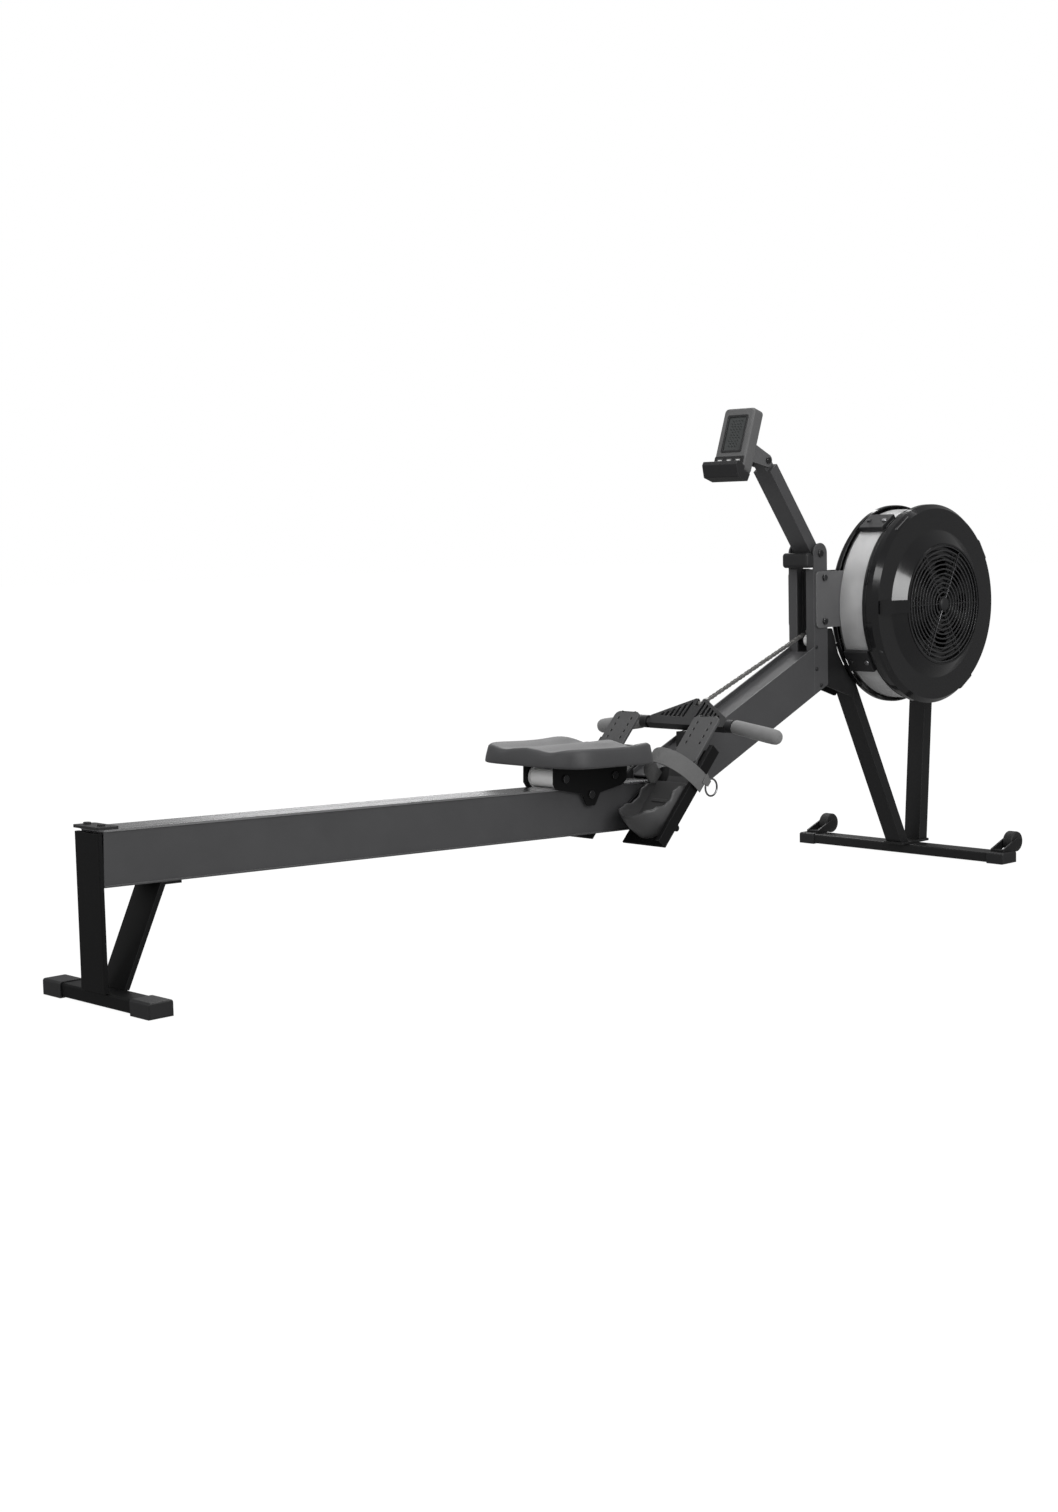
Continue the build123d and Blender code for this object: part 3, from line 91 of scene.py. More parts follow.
def make_studio():
    bpy.ops.mesh.primitive_plane_add(size=60, location=(0, 0, -0.0005))
    floor = bpy.context.object
    floor.name = "floor"
    floor.visible_glossy = False
    pale = bpy.data.materials.new("floor_pale")
    pale.use_nodes = True
    nodes_in, links = pale.node_tree.nodes, pale.node_tree.links
    shader = nodes_in["Principled BSDF"]
    shader.inputs["Base Color"].default_value = (0.42, 0.42, 0.42, 1)
    shader.inputs["Roughness"].default_value = 0.9
    sweep = nodes_in.new("ShaderNodeMixShader")
    glowing = nodes_in.new("ShaderNodeEmission")
    direct = nodes_in.new("ShaderNodeLightPath")
    mostly = nodes_in.new("ShaderNodeMath")
    mostly.operation = "MULTIPLY"
    mostly.inputs[1].default_value = 0.86
    glowing.inputs["Strength"].default_value = 1.12
    links.new(direct.outputs["Is Camera Ray"], mostly.inputs[0])
    links.new(mostly.outputs[0], sweep.inputs[0])
    links.new(shader.outputs[0], sweep.inputs[1])
    links.new(glowing.outputs[0], sweep.inputs[2])
    links.new(sweep.outputs[0], nodes_in["Material Output"].inputs["Surface"])
    floor.data.materials.append(pale)
    world = bpy.data.worlds.new("studio")
    bpy.context.scene.world = world
    world.use_nodes = True
    tree = world.node_tree
    tree.nodes.clear()
    path = tree.nodes.new("ShaderNodeLightPath")
    out = tree.nodes.new("ShaderNodeOutputWorld")
    room, seen = (tree.nodes.new("ShaderNodeMixShader") for _ in range(2))

    def glow(strength):
        shade = tree.nodes.new("ShaderNodeBackground")
        shade.inputs["Color"].default_value = (1, 1, 1, 1)
        shade.inputs["Strength"].default_value = strength
        return shade.outputs[0]

    tree.links.new(path.outputs["Is Glossy Ray"], room.inputs[0])
    tree.links.new(glow(0.80), room.inputs[1])
    tree.links.new(glow(0.20), room.inputs[2])
    tree.links.new(path.outputs["Is Camera Ray"], seen.inputs[0])
    tree.links.new(room.outputs[0], seen.inputs[1])
    tree.links.new(glow(1.0), seen.inputs[2])
    tree.links.new(seen.outputs[0], out.inputs[0])
    bpy.context.scene.view_settings.view_transform = "Standard"
    bpy.context.scene.view_settings.look = "None"
    soft_light("key", (-1.4, -3.4, 2.7), (0.2, 0, 0.4), (2.4, 1.6), 42)
    soft_light("overhead", (0.1, 0.4, 3.3), (0.1, 0, 0), (4.6, 1.8), 55)
    soft_light("housing_card", (0.30, -2.9, 1.75), (1.0, -0.16, 0.62), (0.55, 2.6), 30)
    soft_light("rear_fill", (-3.6, 1.2, 1.6), (0, 0, 0.3), (1.6, 1.6), 16)
    soft_light("back", (2.6, 3.0, 2.2), (0.3, 0, 0.5), (2.2, 1.4), 30)


make_camera()
make_studio()


# ---- materials ------------------------------------------------------------------------
def material(name, colour, rough, metal=0.0, coat=0.0, grain=(900, 0.05), vary=(14, 0.12),
             stretch=(1, 1, 1), edge=None, sheen=0.0, specular=0.5):
    """A procedural finish: slow colour drift, fine grain, and edges lightened towards the edge colour as a
    painted highlight where edge is given.
    """
    made = bpy.data.materials.new(name)
    made.use_nodes = True
    tree = made.node_tree
    shader = tree.nodes["Principled BSDF"]
    shader.inputs["Metallic"].default_value = metal
    shader.inputs["Coat Weight"].default_value = coat
    shader.inputs["Coat Roughness"].default_value = 0.06
    shader.inputs["Sheen Weight"].default_value = sheen
    shader.inputs["Specular IOR Level"].default_value = specular
    place = tree.nodes.new("ShaderNodeTexCoord")
    turn = tree.nodes.new("ShaderNodeMapping")
    turn.inputs["Scale"].default_value = stretch
    tree.links.new(place.outputs["Object"], turn.inputs["Vector"])
    drift = tree.nodes.new("ShaderNodeTexNoise")
    drift.inputs["Scale"].default_value = vary[0]
    drift.inputs["Detail"].default_value = 5
    tree.links.new(turn.outputs[0], drift.inputs["Vector"])
    tint = tree.nodes.new("ShaderNodeMix")
    tint.data_type = "RGBA"
    tint.inputs[6].default_value = (*[c * (1 - vary[1]) for c in colour], 1)
    tint.inputs[7].default_value = (*[min(1, c * (1 + vary[1])) for c in colour], 1)
    tree.links.new(drift.outputs["Fac"], tint.inputs[0])
    shade = tree.nodes.new("ShaderNodeMapRange")
    shade.inputs["To Min"].default_value = max(0.02, rough - 0.06)
    shade.inputs["To Max"].default_value = min(1, rough + 0.06)
    tree.links.new(drift.outputs["Fac"], shade.inputs["Value"])
    tree.links.new(shade.outputs[0], shader.inputs["Roughness"])
    fine = tree.nodes.new("ShaderNodeTexNoise")
    fine.inputs["Scale"].default_value = grain[0]
    fine.inputs["Detail"].default_value = 3
    tree.links.new(turn.outputs[0], fine.inputs["Vector"])
    bump = tree.nodes.new("ShaderNodeBump")
    bump.inputs["Strength"].default_value = grain[1]
    bump.inputs["Distance"].default_value = 0.0006
    tree.links.new(fine.outputs["Fac"], bump.inputs["Height"])
    tree.links.new(bump.outputs[0], shader.inputs["Normal"])
    if edge is None:
        tree.links.new(tint.outputs[2], shader.inputs["Base Color"])
        return made
    # Painted highlight: the edge colour is mixed in where the bevelled normal turns away from the flat one,
    # standing in for light caught on the rims.
    rounding = tree.nodes.new("ShaderNodeBevel")
    rounding.samples = 4
    rounding.inputs["Radius"].default_value = 0.0014
    tree.links.new(rounding.outputs[0], bump.inputs["Normal"])
    flat = tree.nodes.new("ShaderNodeNewGeometry")
    turned = tree.nodes.new("ShaderNodeVectorMath")
    turned.operation = "DOT_PRODUCT"
    tree.links.new(rounding.outputs[0], turned.inputs[0])
    tree.links.new(flat.outputs["Normal"], turned.inputs[1])
    edge_highlight = tree.nodes.new("ShaderNodeMapRange")
    edge_highlight.inputs["From Min"].default_value = 0.99
    edge_highlight.inputs["From Max"].default_value = 0.80
    edge_highlight.inputs["To Max"].default_value = 0.8
    tree.links.new(turned.outputs["Value"], edge_highlight.inputs["Value"])
    lit = tree.nodes.new("ShaderNodeMix")
    lit.data_type = "RGBA"
    lit.inputs[7].default_value = (*edge, 1)
    tree.links.new(edge_highlight.outputs[0], lit.inputs[0])
    tree.links.new(tint.outputs[2], lit.inputs[6])
    tree.links.new(lit.outputs[2], shader.inputs["Base Color"])
    return made


def woven(name, thread, gap, pitch, rough, metal, axes):
    """A weave or mesh: two crossed sine patterns, in frame X, Y and Z or round the flywheel's axis."""
    made = material(name, thread, rough, metal=metal, grain=(1500, 0.1), vary=(30, 0.2))
    tree = made.node_tree
    shader = tree.nodes["Principled BSDF"]
    place = next(n for n in tree.nodes if n.type == "TEX_COORD")
    split = tree.nodes.new("ShaderNodeSeparateXYZ")
    tree.links.new(place.outputs["Object"], split.inputs[0])

    def maths(operation, a, b=None):
        node = tree.nodes.new("ShaderNodeMath")
        node.operation = operation
        for index, value in enumerate((a, b)):
            if isinstance(value, (int, float)):
                node.inputs[index].default_value = value
            elif value is not None:
                tree.links.new(value, node.inputs[index])
        return node.outputs[0]

    if axes == "round":
        across = maths("SUBTRACT", split.outputs["X"], HUB[0])
        above = maths("SUBTRACT", split.outputs["Z"], HUB[2])
        first = maths("MULTIPLY", maths("ARCTAN2", above, across), BAND_RADIUS)
    else:
        first = maths("ADD", split.outputs["X"], split.outputs["Z"])
    lines = (first, split.outputs["Y"])
    waves = [maths("SINE", maths("MULTIPLY", line, 2 * math.pi / pitch)) for line in lines]
    mask = maths("MULTIPLY", maths("ADD", maths("MULTIPLY", waves[0], waves[1]), 1.0), 0.5)
    old = shader.inputs["Base Color"].links[0].from_socket
    both = tree.nodes.new("ShaderNodeMix")
    both.data_type = "RGBA"
    both.inputs[6].default_value = (*gap, 1)
    tree.links.new(mask, both.inputs[0])
    tree.links.new(old, both.inputs[7])
    tree.links.new(both.outputs[2], shader.inputs["Base Color"])
    bump = next(n for n in tree.nodes if n.type == "BUMP")
    bump.inputs["Strength"].default_value = 0.35
    tree.links.new(mask, bump.inputs["Height"])
    return made


HUB = Vector((x_of(2236), 0, 0.608))
BAND_RADIUS = 0.222
# Each edge colour below is a painted highlight that lightens that finish's edges.
EDGE_HIGHLIGHT = (0.16, 0.16, 0.165)
paint = material("paint_charcoal", (0.052, 0.052, 0.054), 0.42, grain=(1100, 0.10), edge=EDGE_HIGHLIGHT)
paint_light = material("paint_bracket", (0.088, 0.088, 0.090), 0.40, grain=(1100, 0.10), edge=(0.3, 0.3, 0.3))
black = material("black_powder", (0.0045, 0.0045, 0.0048), 0.50, grain=(1000, 0.12),
                 edge=(0.045, 0.045, 0.046), specular=0.22)
legs_black = material("legs_black", (0.010, 0.010, 0.0105), 0.42, grain=(1000, 0.12),
                      edge=(0.07, 0.07, 0.072), specular=0.4)
plastic = material("black_plastic", (0.014, 0.014, 0.015), 0.48, grain=(1400, 0.14), edge=(0.07, 0.07, 0.07))
gloss = material("gloss_cover", (0.006, 0.006, 0.0065), 0.16, coat=0.5, grain=(220, 0.02), vary=(8, 0.15))
grille_black = material("grille_black", (0.016, 0.016, 0.017), 0.24, coat=0.4, grain=(400, 0.03),
                        edge=(0.10, 0.10, 0.102))
steel = material("brushed_track", (0.62, 0.62, 0.63), 0.27, metal=1.0, grain=(700, 0.08), vary=(60, 0.08),
                 stretch=(0.03, 1, 1))
mesh_metal = woven("mesh_steel", (0.86, 0.86, 0.87), (0.22, 0.22, 0.22), 0.0022, 0.34, 0.40, "round")
zinc = material("zinc_bolt", (0.32, 0.32, 0.33), 0.30, metal=1.0, grain=(500, 0.06), vary=(70, 0.2))
dark_bolt = material("dark_bolt", (0.05, 0.05, 0.052), 0.30, metal=0.8, grain=(500, 0.06),
                     edge=(0.35, 0.35, 0.35))
nickel = material("nickel_chain", (0.34, 0.335, 0.325), 0.34, metal=0.85, grain=(600, 0.05), vary=(120, 0.25))
nylon = material("white_nylon", (0.86, 0.86, 0.85), 0.38, grain=(900, 0.05), vary=(25, 0.04))
rubber = material("grip_rubber", (0.150, 0.150, 0.150), 0.74, grain=(1300, 0.35), vary=(60, 0.12), sheen=0.15)
tread = material("caster_rubber", (0.016, 0.016, 0.016), 0.66, grain=(900, 0.2))
elastic = material("elastic_cord", (0.03, 0.03, 0.03), 0.8, grain=(1600, 0.5))
fan_grey = material("fan_plastic", (0.02, 0.02, 0.02), 0.5, grain=(800, 0.1))
heel = material("heel_plastic", (0.060, 0.060, 0.061), 0.44, grain=(1300, 0.16), edge=(0.12, 0.12, 0.12))
webbing = woven("strap_web", (0.155, 0.155, 0.155), (0.05, 0.05, 0.05), 0.0019, 0.86, 0.0, "cross")
seat_skin = material("seat_skin", (0.040, 0.040, 0.042), 0.50, grain=(1100, 0.20), vary=(9, 0.10), sheen=0.08)
case = material("case_grey", (0.090, 0.090, 0.091), 0.52, grain=(1500, 0.16), edge=(0.25, 0.25, 0.25))
lcd = material("lcd_face", (0.045, 0.048, 0.048), 0.20, coat=0.4, grain=(300, 0.01), vary=(40, 0.2))
lcd_mark = material("lcd_marks", (0.010, 0.012, 0.012), 0.4, grain=(300, 0.01))
key_grey = material("key_grey", (0.060, 0.060, 0.061), 0.5, grain=(900, 0.08))
key_white = material("key_white", (0.60, 0.60, 0.59), 0.5, grain=(900, 0.08), vary=(30, 0.05))

finishes = {
    paint: ["rail_box", "main_beam", "uprights", "monitor_arm"],
    paint_light: ["fork_plate_right", "fork_plate_left", "monitor_bracket"],
    black: ["rear_leg", "rear_foot_bar", "footboards", "seat_carriage"],
    legs_black: ["front_foot_bar", "front_legs", "leg_brackets", "caster_forks", "joint_plates"],
    plastic: ["rail_end_cap", "foot_caps", "arm_rest_block", "housing_clamps", "monitor_ledge",
              "handle_frame", "handle_rest", "handle_bar"],
    gloss: ["housing_cover_right", "housing_cover_left", "damper_lever"],
    grille_black: ["intake_grille"],
    steel: ["rail_track"],
    mesh_metal: ["mesh_band"],
    zinc: ["pulley_axles", "flywheel_axle", "axle_bearings", "strap_rings"],
    dark_bolt: ["frame_bolts", "tilt_bolt", "carriage_axles"],
    nickel: ["chain_run", "chain_return", "chain_shackle", "sprocket"],
    nylon: ["top_roller_rear", "top_roller_front", "guide_rollers", "chain_idler", "cord_pulley"],
    rubber: ["handle_grips"],
    tread: ["caster_wheel_right", "caster_wheel_left"],
    elastic: ["shock_cord"],
    fan_grey: ["fan_wheel"],
    heel: ["heel_cup_right", "heel_cup_left"],
    webbing: ["foot_straps"],
    seat_skin: ["seat_pad"],
    case: ["monitor_case"],
    lcd: ["screen"],
    key_grey: ["button_left", "button_middle", "button_right"],
}
for finish, names in finishes.items():
    for name in names:
        nodes[name].data.materials.clear()
        nodes[name].data.materials.append(finish)


# ---- mesh helpers ---------------------------------------------------------------------
def piece(name, verts, faces, finish, smooth=True):
    """A new object from points and faces, with consistent outward normals."""
    data = bpy.data.meshes.new(name)
    data.from_pydata([tuple(v) for v in verts], [], faces)
    shape = bmesh.new()
    shape.from_mesh(data)
    bmesh.ops.recalc_face_normals(shape, faces=shape.faces)
    for face in shape.faces:
        face.smooth = smooth
    shape.to_mesh(data)
    shape.free()
    data.materials.append(finish)
    made = bpy.data.objects.new(name, data)
    bpy.context.scene.collection.objects.link(made)
    return made


def lathe(name, profile, origin, axis, finish, steps=48):
    """A closed body turned about an axis from (radius, distance) points, first and last on the axis."""
    axis = Vector(axis).normalized()
    side = axis.orthogonal().normalized()
    other = axis.cross(side)
    verts, faces = [], []
    inner = profile[1:-1]
    verts.append(Vector(origin) + axis * profile[0][1])
    for radius, along in inner:
        for step in range(steps):
            angle = 2 * math.pi * step / steps
            outward = side * math.cos(angle) + other * math.sin(angle)
            verts.append(Vector(origin) + axis * along + outward * radius)
    verts.append(Vector(origin) + axis * profile[-1][1])
    last = len(verts) - 1
    for step in range(steps):
        following = (step + 1) % steps
        faces.append((0, 1 + step, 1 + following))
        for row in range(len(inner) - 1):
            base = 1 + row * steps
            faces.append((base + step, base + steps + step, base + steps + following, base + following))
        base = 1 + (len(inner) - 1) * steps
        faces.append((last, base + following, base + step))
    return piece(name, verts, faces, finish)


def flat_shape(name, outlines, origin, x_dir, y_dir, depth, bevel, finish):
    """A plate with holes from 2-D outlines, standing depth above origin along x_dir cross y_dir."""
    curve = bpy.data.curves.new(name, "CURVE")
    curve.dimensions = "2D"
    curve.fill_mode = "BOTH"
    curve.extrude = depth / 2 - bevel
    curve.bevel_depth = bevel
    curve.bevel_resolution = 2
    curve.offset = -bevel
    for outline in outlines:
        spline = curve.splines.new("POLY")
        spline.points.add(len(outline) - 1)
        for point, (a, b) in zip(spline.points, outline):
            point.co = (a, b, 0, 1)
        spline.use_cyclic_u = True
    shape = bpy.data.objects.new(name + "_curve", curve)
    bpy.context.scene.collection.objects.link(shape)
    data = bpy.data.meshes.new_from_object(shape.evaluated_get(bpy.context.evaluated_depsgraph_get()))
    bpy.data.objects.remove(shape)
    x_dir, y_dir = Vector(x_dir).normalized(), Vector(y_dir).normalized()
    z_dir = x_dir.cross(y_dir)
    move = Matrix((x_dir, y_dir, z_dir)).transposed().to_4x4()
    move.translation = Vector(origin) + z_dir * depth / 2
    data.transform(move)
    data.name = name
    data.materials.clear()
    data.materials.append(finish)
    weld = bmesh.new()
    weld.from_mesh(data)
    bmesh.ops.remove_doubles(weld, verts=weld.verts, dist=1e-6)
    bmesh.ops.recalc_face_normals(weld, faces=weld.faces)
    weld.to_mesh(data)
    weld.free()
    made = bpy.data.objects.new(name, data)
    bpy.context.scene.collection.objects.link(made)
    return made


def rounded(half_x, half_y, radius, steps=8, centre=(0, 0)):
    """Outline of a rounded rectangle."""
    points = []
    for quarter, (sx, sy) in enumerate(((1, 1), (-1, 1), (-1, -1), (1, -1))):
        for step in range(steps + 1):
            angle = math.pi / 2 * (quarter + step / steps)
            points.append((centre[0] + sx * (half_x - radius) + radius * math.cos(angle),
                           centre[1] + sy * (half_y - radius) + radius * math.sin(angle)))
    return points


def held(made, body, slot, *replaced):
    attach(made, body)
    if replaced:
        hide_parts(*replaced)
    return made


# ---- seat: dished moulded pad -----------------------------------------------------------
RAIL_DOWN = math.radians(1.85)
SEAT_X, SEAT_HALF_X, SEAT_HALF_Y = x_of(1168), 0.1335, 0.1495
seat_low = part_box("seat_pad")[0]
SEAT_RINGS, SEAT_STEPS, SEAT_RIM = 26, 160, 0.962


def seat_outline(angle):
    """Plan of the seat: a soft rectangle with a slight waist on each side."""
    power = 0.40
    c, s = math.cos(angle), math.sin(angle)
    x = math.copysign(abs(c) ** power, c) * SEAT_HALF_X
    y = math.copysign(abs(s) ** power, s) * SEAT_HALF_Y
    y *= 1 - 0.035 * math.exp(-((x / 0.055) ** 2))
    return x, y


def seat_top(x, y):
    """Height of the seat's upper skin over its underside, in metres."""
    edge = abs(y) / SEAT_HALF_Y
    ends = x / SEAT_HALF_X
    height = 38.0 + 6.0 * edge ** 3 * (0.3 + 0.7 * ends * ends)
    height -= 9.5 * math.exp(-(((abs(y) - 0.066) / 0.036) ** 2)) * (1 - 0.35 * max(0.0, -ends) ** 2)
    height += 3.0 * math.exp(-((y / 0.022) ** 2)) * (0.5 + 0.5 * ends)
    height += 4.0 * math.exp(-(((ends - 0.78) / 0.26) ** 2)) * (0.35 + 0.65 * edge)
    return min(height, 47.0) * MM


def make_seat():
    wall = ((0.955, 0.6), (0.980, 0.0), (0.998, 1.6), (1.0, 5.0), (0.992, 14.0), (0.978, 24.0))
    verts, faces = [], []
    slope = math.tan(RAIL_DOWN)
    for share, height in wall:
        for step in range(SEAT_STEPS):
            x, y = seat_outline(2 * math.pi * step / SEAT_STEPS)
            verts.append((x * share, y * share, height * MM))
    for ring in range(SEAT_RINGS):
        share = SEAT_RIM * (1 - (ring / SEAT_RINGS) ** 1.35)
        for step in range(SEAT_STEPS):
            x, y = seat_outline(2 * math.pi * step / SEAT_STEPS)
            x, y = x * share, y * share
            edge = max(0.0, 1 - (1 - share / SEAT_RIM) / 0.06)
            verts.append((x, y, seat_top(x, y) - 0.0065 * edge * edge))
    rows = len(verts) // SEAT_STEPS
    for row in range(rows - 1):
        for step in range(SEAT_STEPS):
            following = (step + 1) % SEAT_STEPS
            a, b = row * SEAT_STEPS, (row + 1) * SEAT_STEPS
            faces.append((a + step, a + following, b + following, b + step))
    verts.append((0, 0, seat_top(0, 0)))
    verts.append((0, 0, 0.0005))
    top, bottom = len(verts) - 2, len(verts) - 1
    last = (rows - 1) * SEAT_STEPS
    for step in range(SEAT_STEPS):
        following = (step + 1) % SEAT_STEPS
        faces.append((last + step, last + following, top))
        faces.append((following, step, bottom))
    base = (seat_low.z + SEAT_HALF_X * slope)
    placed = [(SEAT_X + x + z * slope, y, base - x * slope + z) for x, y, z in verts]
    seat = piece("seat_cushion", placed, faces, seat_skin)
    held(seat, "seat", "seat_foam", "seat_pad")


make_seat()

# ---- foot boards: heel cups, toe plates and straps --------------------------------------
BOARD_UP = math.radians(47)
UP_DIR = Vector((math.cos(BOARD_UP), 0, math.sin(BOARD_UP)))
OFF_DIR = Vector((-math.sin(BOARD_UP), 0, math.cos(BOARD_UP)))
BOARD_ORIGIN = Vector((x_of(1276), 0, 0.147))
CUP_Y, CUP_RADIUS, CUP_WALL, HEEL_UP, CUP_FRONT = 0.101, 0.048, 0.004, 0.060, 0.150
CUP_LIFT = 0.0008
TOE_Y = 0.116


def board_point(up, across, off):
    return BOARD_ORIGIN + UP_DIR * up + Vector((0, across, 0)) + OFF_DIR * off


def cup_rim(share):
    """Height of the cup's rim from the heel, share 0, to its front, share 1."""
    keys = ((0, 74), (0.25, 72), (0.42, 58), (0.55, 40), (0.66, 34), (0.76, 38), (0.88, 30), (1, 14))
    for (a, high_a), (b, high_b) in zip(keys, keys[1:]):
        if share <= b:
            part = (share - a) / (b - a)
            part = part * part * (3 - 2 * part)
            return (high_a + (high_b - high_a) * part) * MM
    return keys[-1][1] * MM


def make_heel_cup(side, sign):
    """A flexible cup with a scalloped rim: an inner and an outer wall joined over the rim, and a sole."""
    straight = CUP_FRONT - HEEL_UP
    arc = math.pi / 2 * CUP_RADIUS
    count, rows = 44, 10
    path = []
    for step in range(-count, count + 1):
        run = abs(step) / count * (arc + straight)
        turn = min(run / CUP_RADIUS, math.pi / 2)
        beyond = max(0.0, run - arc)
        direction = Vector((-math.cos(turn), math.sin(turn) * (1 if step >= 0 else -1)))
        path.append((HEEL_UP + beyond, direction, abs(step) / count))
    verts, faces = [], []
    for up, direction, share in path:
        rim = cup_rim(share)
        for row in range(rows + 1):
            part = row / rows
            lean = 0.0015 - 0.0035 * math.sin(math.pi * part)
            reach = CUP_RADIUS - lean
            verts.append(board_point(up + direction.x * reach, sign * CUP_Y + direction.y * reach,
                                     CUP_LIFT + (rim - CUP_LIFT) * part))
        for row in range(rows, -1, -1):
            part = row / rows
            lean = 0.0015 - 0.0035 * math.sin(math.pi * part) + CUP_WALL
            reach = CUP_RADIUS - lean
            verts.append(board_point(up + direction.x * reach, sign * CUP_Y + direction.y * reach,
                                     CUP_LIFT + (rim - CUP_LIFT) * part))
    width = 2 * (rows + 1)
    for index in range(len(path) - 1):
        for row in range(width):
            following = (row + 1) % width
            a, b = index * width, (index + 1) * width
            faces.append((a + row, b + row, b + following, a + following))
    faces.append(tuple(range(width)))
    faces.append(tuple(range((len(path) - 1) * width, len(path) * width))[::-1])
    cup = piece(f"heel_cup_wall_{side}", verts, faces, heel)
    held(cup, f"heel_{side}", "heel_plastic", f"heel_cup_{side}")
    radius = CUP_RADIUS - 0.001
    sole = [(CUP_FRONT + 0.006, -radius), (CUP_FRONT + 0.006, radius)]
    turns = [math.pi * step / 24 for step in range(25)]
    sole += [(HEEL_UP - radius * math.sin(a), radius * math.cos(a)) for a in turns]
    held(flat_shape(f"heel_sole_{side}", [sole], board_point(0, sign * CUP_Y, CUP_LIFT), UP_DIR, (0, 1, 0),
                    0.009, 0.0015, heel), f"heel_{side}", "heel_plastic")
    for index, up in enumerate((0.045, 0.075, 0.105)):
        held(flat_shape(f"heel_rib_{side}_{index}", [rounded(0.004, 0.030, 0.0035)],
                        board_point(up, sign * CUP_Y, 0.0095), UP_DIR, (0, 1, 0), 0.0022, 0.0008, heel),
             f"heel_{side}", "heel_plastic")
    bridge = board_point(CUP_FRONT - 0.004, sign * TOE_Y, 0.0)
    slope_verts, slope_faces = [], []
    for up, low in ((0.0, 0.001), (0.024, 0.004), (0.048, 0.021), (0.058, 0.0238)):
        for across in (-0.036, 0.036):
            for thick in (0, 0.0062):
                slope_verts.append(bridge + UP_DIR * up + Vector((0, across, 0)) + OFF_DIR * (low + thick))
    for row in range(3):
        a, b = row * 4, row * 4 + 4
        for first, second in ((0, 1), (1, 3), (3, 2), (2, 0)):
            slope_faces.append((a + first, b + first, b + second, a + second))
    slope_faces += [(0, 1, 3, 2), (12, 14, 15, 13)]
    ramp = piece(f"toe_ramp_{side}", slope_verts, slope_faces, heel, smooth=False)
    held(ramp, f"heel_{side}", "heel_plastic")
    holes = []
    for column in (-0.019, 0.019):
        for row in range(5):
            holes.append(rounded(0.0036, 0.0022, 0.0021, 4, (0.052 + 0.0175 * row, column)))
    plate = rounded(0.062, 0.036, 0.013, 8, (0.062, 0))
    held(flat_shape(f"toe_plate_{side}", [plate, *holes], board_point(0.194, sign * TOE_Y, 0.024), UP_DIR,
                    (0, 1, 0), 0.0068, 0.0012, heel), f"heel_{side}", "heel_plastic")


def make_strap(side, sign):
    """Webbing arched over the shoe, with bound edges."""
    half, rise, thick, width = 0.0655, 0.0915, 0.0022, 0.0398
    centre = board_point(0.165, sign * 0.1075, 0)
    steps = 72
    start = -0.075
    verts, faces = [], []
    across = ((-0.5, 0.8), (-0.47, 1.0), (-0.42, 1.0), (-0.40, 0.82), (-0.1, 0.8),
              (0.1, 0.8), (0.40, 0.82), (0.42, 1.0), (0.47, 1.0), (0.5, 0.8))
    for step in range(steps + 1):
        angle = start + (math.pi - 2 * start) * step / steps
        normal = Vector((math.cos(angle) / half, math.sin(angle) / rise)).normalized()
        spot = Vector((half * math.cos(angle), rise * math.sin(angle)))
        spot.y = max(spot.y, -0.005)
        for share, swell in across:
            outer = spot
            verts.append(centre + Vector((0, outer.x, 0)) + OFF_DIR * outer.y + UP_DIR * width * share)
        for share, swell in reversed(across):
            outer = spot - normal * thick * swell
            verts.append(centre + Vector((0, outer.x, 0)) + OFF_DIR * outer.y + UP_DIR * width * share)
    ring = 2 * len(across)
    for step in range(steps):
        for row in range(ring):
            following = (row + 1) % ring
            a, b = step * ring, (step + 1) * ring
            faces.append((a + row, b + row, b + following, a + following))
    faces.append(tuple(range(ring)))
    faces.append(tuple(range(steps * ring, steps * ring + ring))[::-1])
    return piece(f"strap_webbing_{side}", verts, faces, webbing)


for side, sign in (("right", -1), ("left", 1)):
    make_heel_cup(side, sign)
    strap = make_strap(side, sign)
    held(strap, "frame", "strap_web", *(["foot_straps"] if side == "right" else []))
    tab = [(-0.012, 0.004), (0.012, 0.004), (0.007, -0.016), (-0.007, -0.016)]
    held(flat_shape(f"ring_tab_{side}", [tab], board_point(0.176, sign * 0.1725, 0), UP_DIR, OFF_DIR,
                    0.0022, 0.0006, webbing), "frame", "strap_web")

# ---- handle grips -----------------------------------------------------------------------
HANDLE = Vector((x_of(1535), 0, 0.373))
GRIP_DROOP, DROOP_TURN, GRIP_START = math.radians(8.0), math.radians(17.5), 0.133
DROOP_DIR = Vector((-math.sin(DROOP_TURN), 0, -math.cos(DROOP_TURN)))
grip_profile = [(0, 0.1338), (0.0045, 0.1336), (0.0090, 0.1320), (0.0130, 0.1285), (0.0154, 0.1240),
                (0.0163, 0.1160), (0.0165, 0.0980), (0.0161, 0.0570), (0.0157, 0.0200), (0.0152, 0.0060),
                (0.0144, 0.0034), (0.0085, 0.0031), (0, 0.0031)]
for side, sign in (("right", -1), ("left", 1)):
    run = Vector((0, sign * math.cos(GRIP_DROOP), 0)) + DROOP_DIR * math.sin(GRIP_DROOP)
    grip = lathe(f"grip_{side}", grip_profile, HANDLE + Vector((0, sign * GRIP_START, 0)), run, rubber)
    held(grip, "handle", "grip_rubber", *(["handle_grips"] if side == "right" else []))

# ---- pull chain -------------------------------------------------------------------------
PIN = Vector((0.3457, 0, 0.4130))
GATE = Vector((x_of(1945), 0, 0.553))
CHAIN_DIR = (GATE - PIN).normalized()
CHAIN_START, PITCH, CHUNKS = 0.023, 0.0127, 10


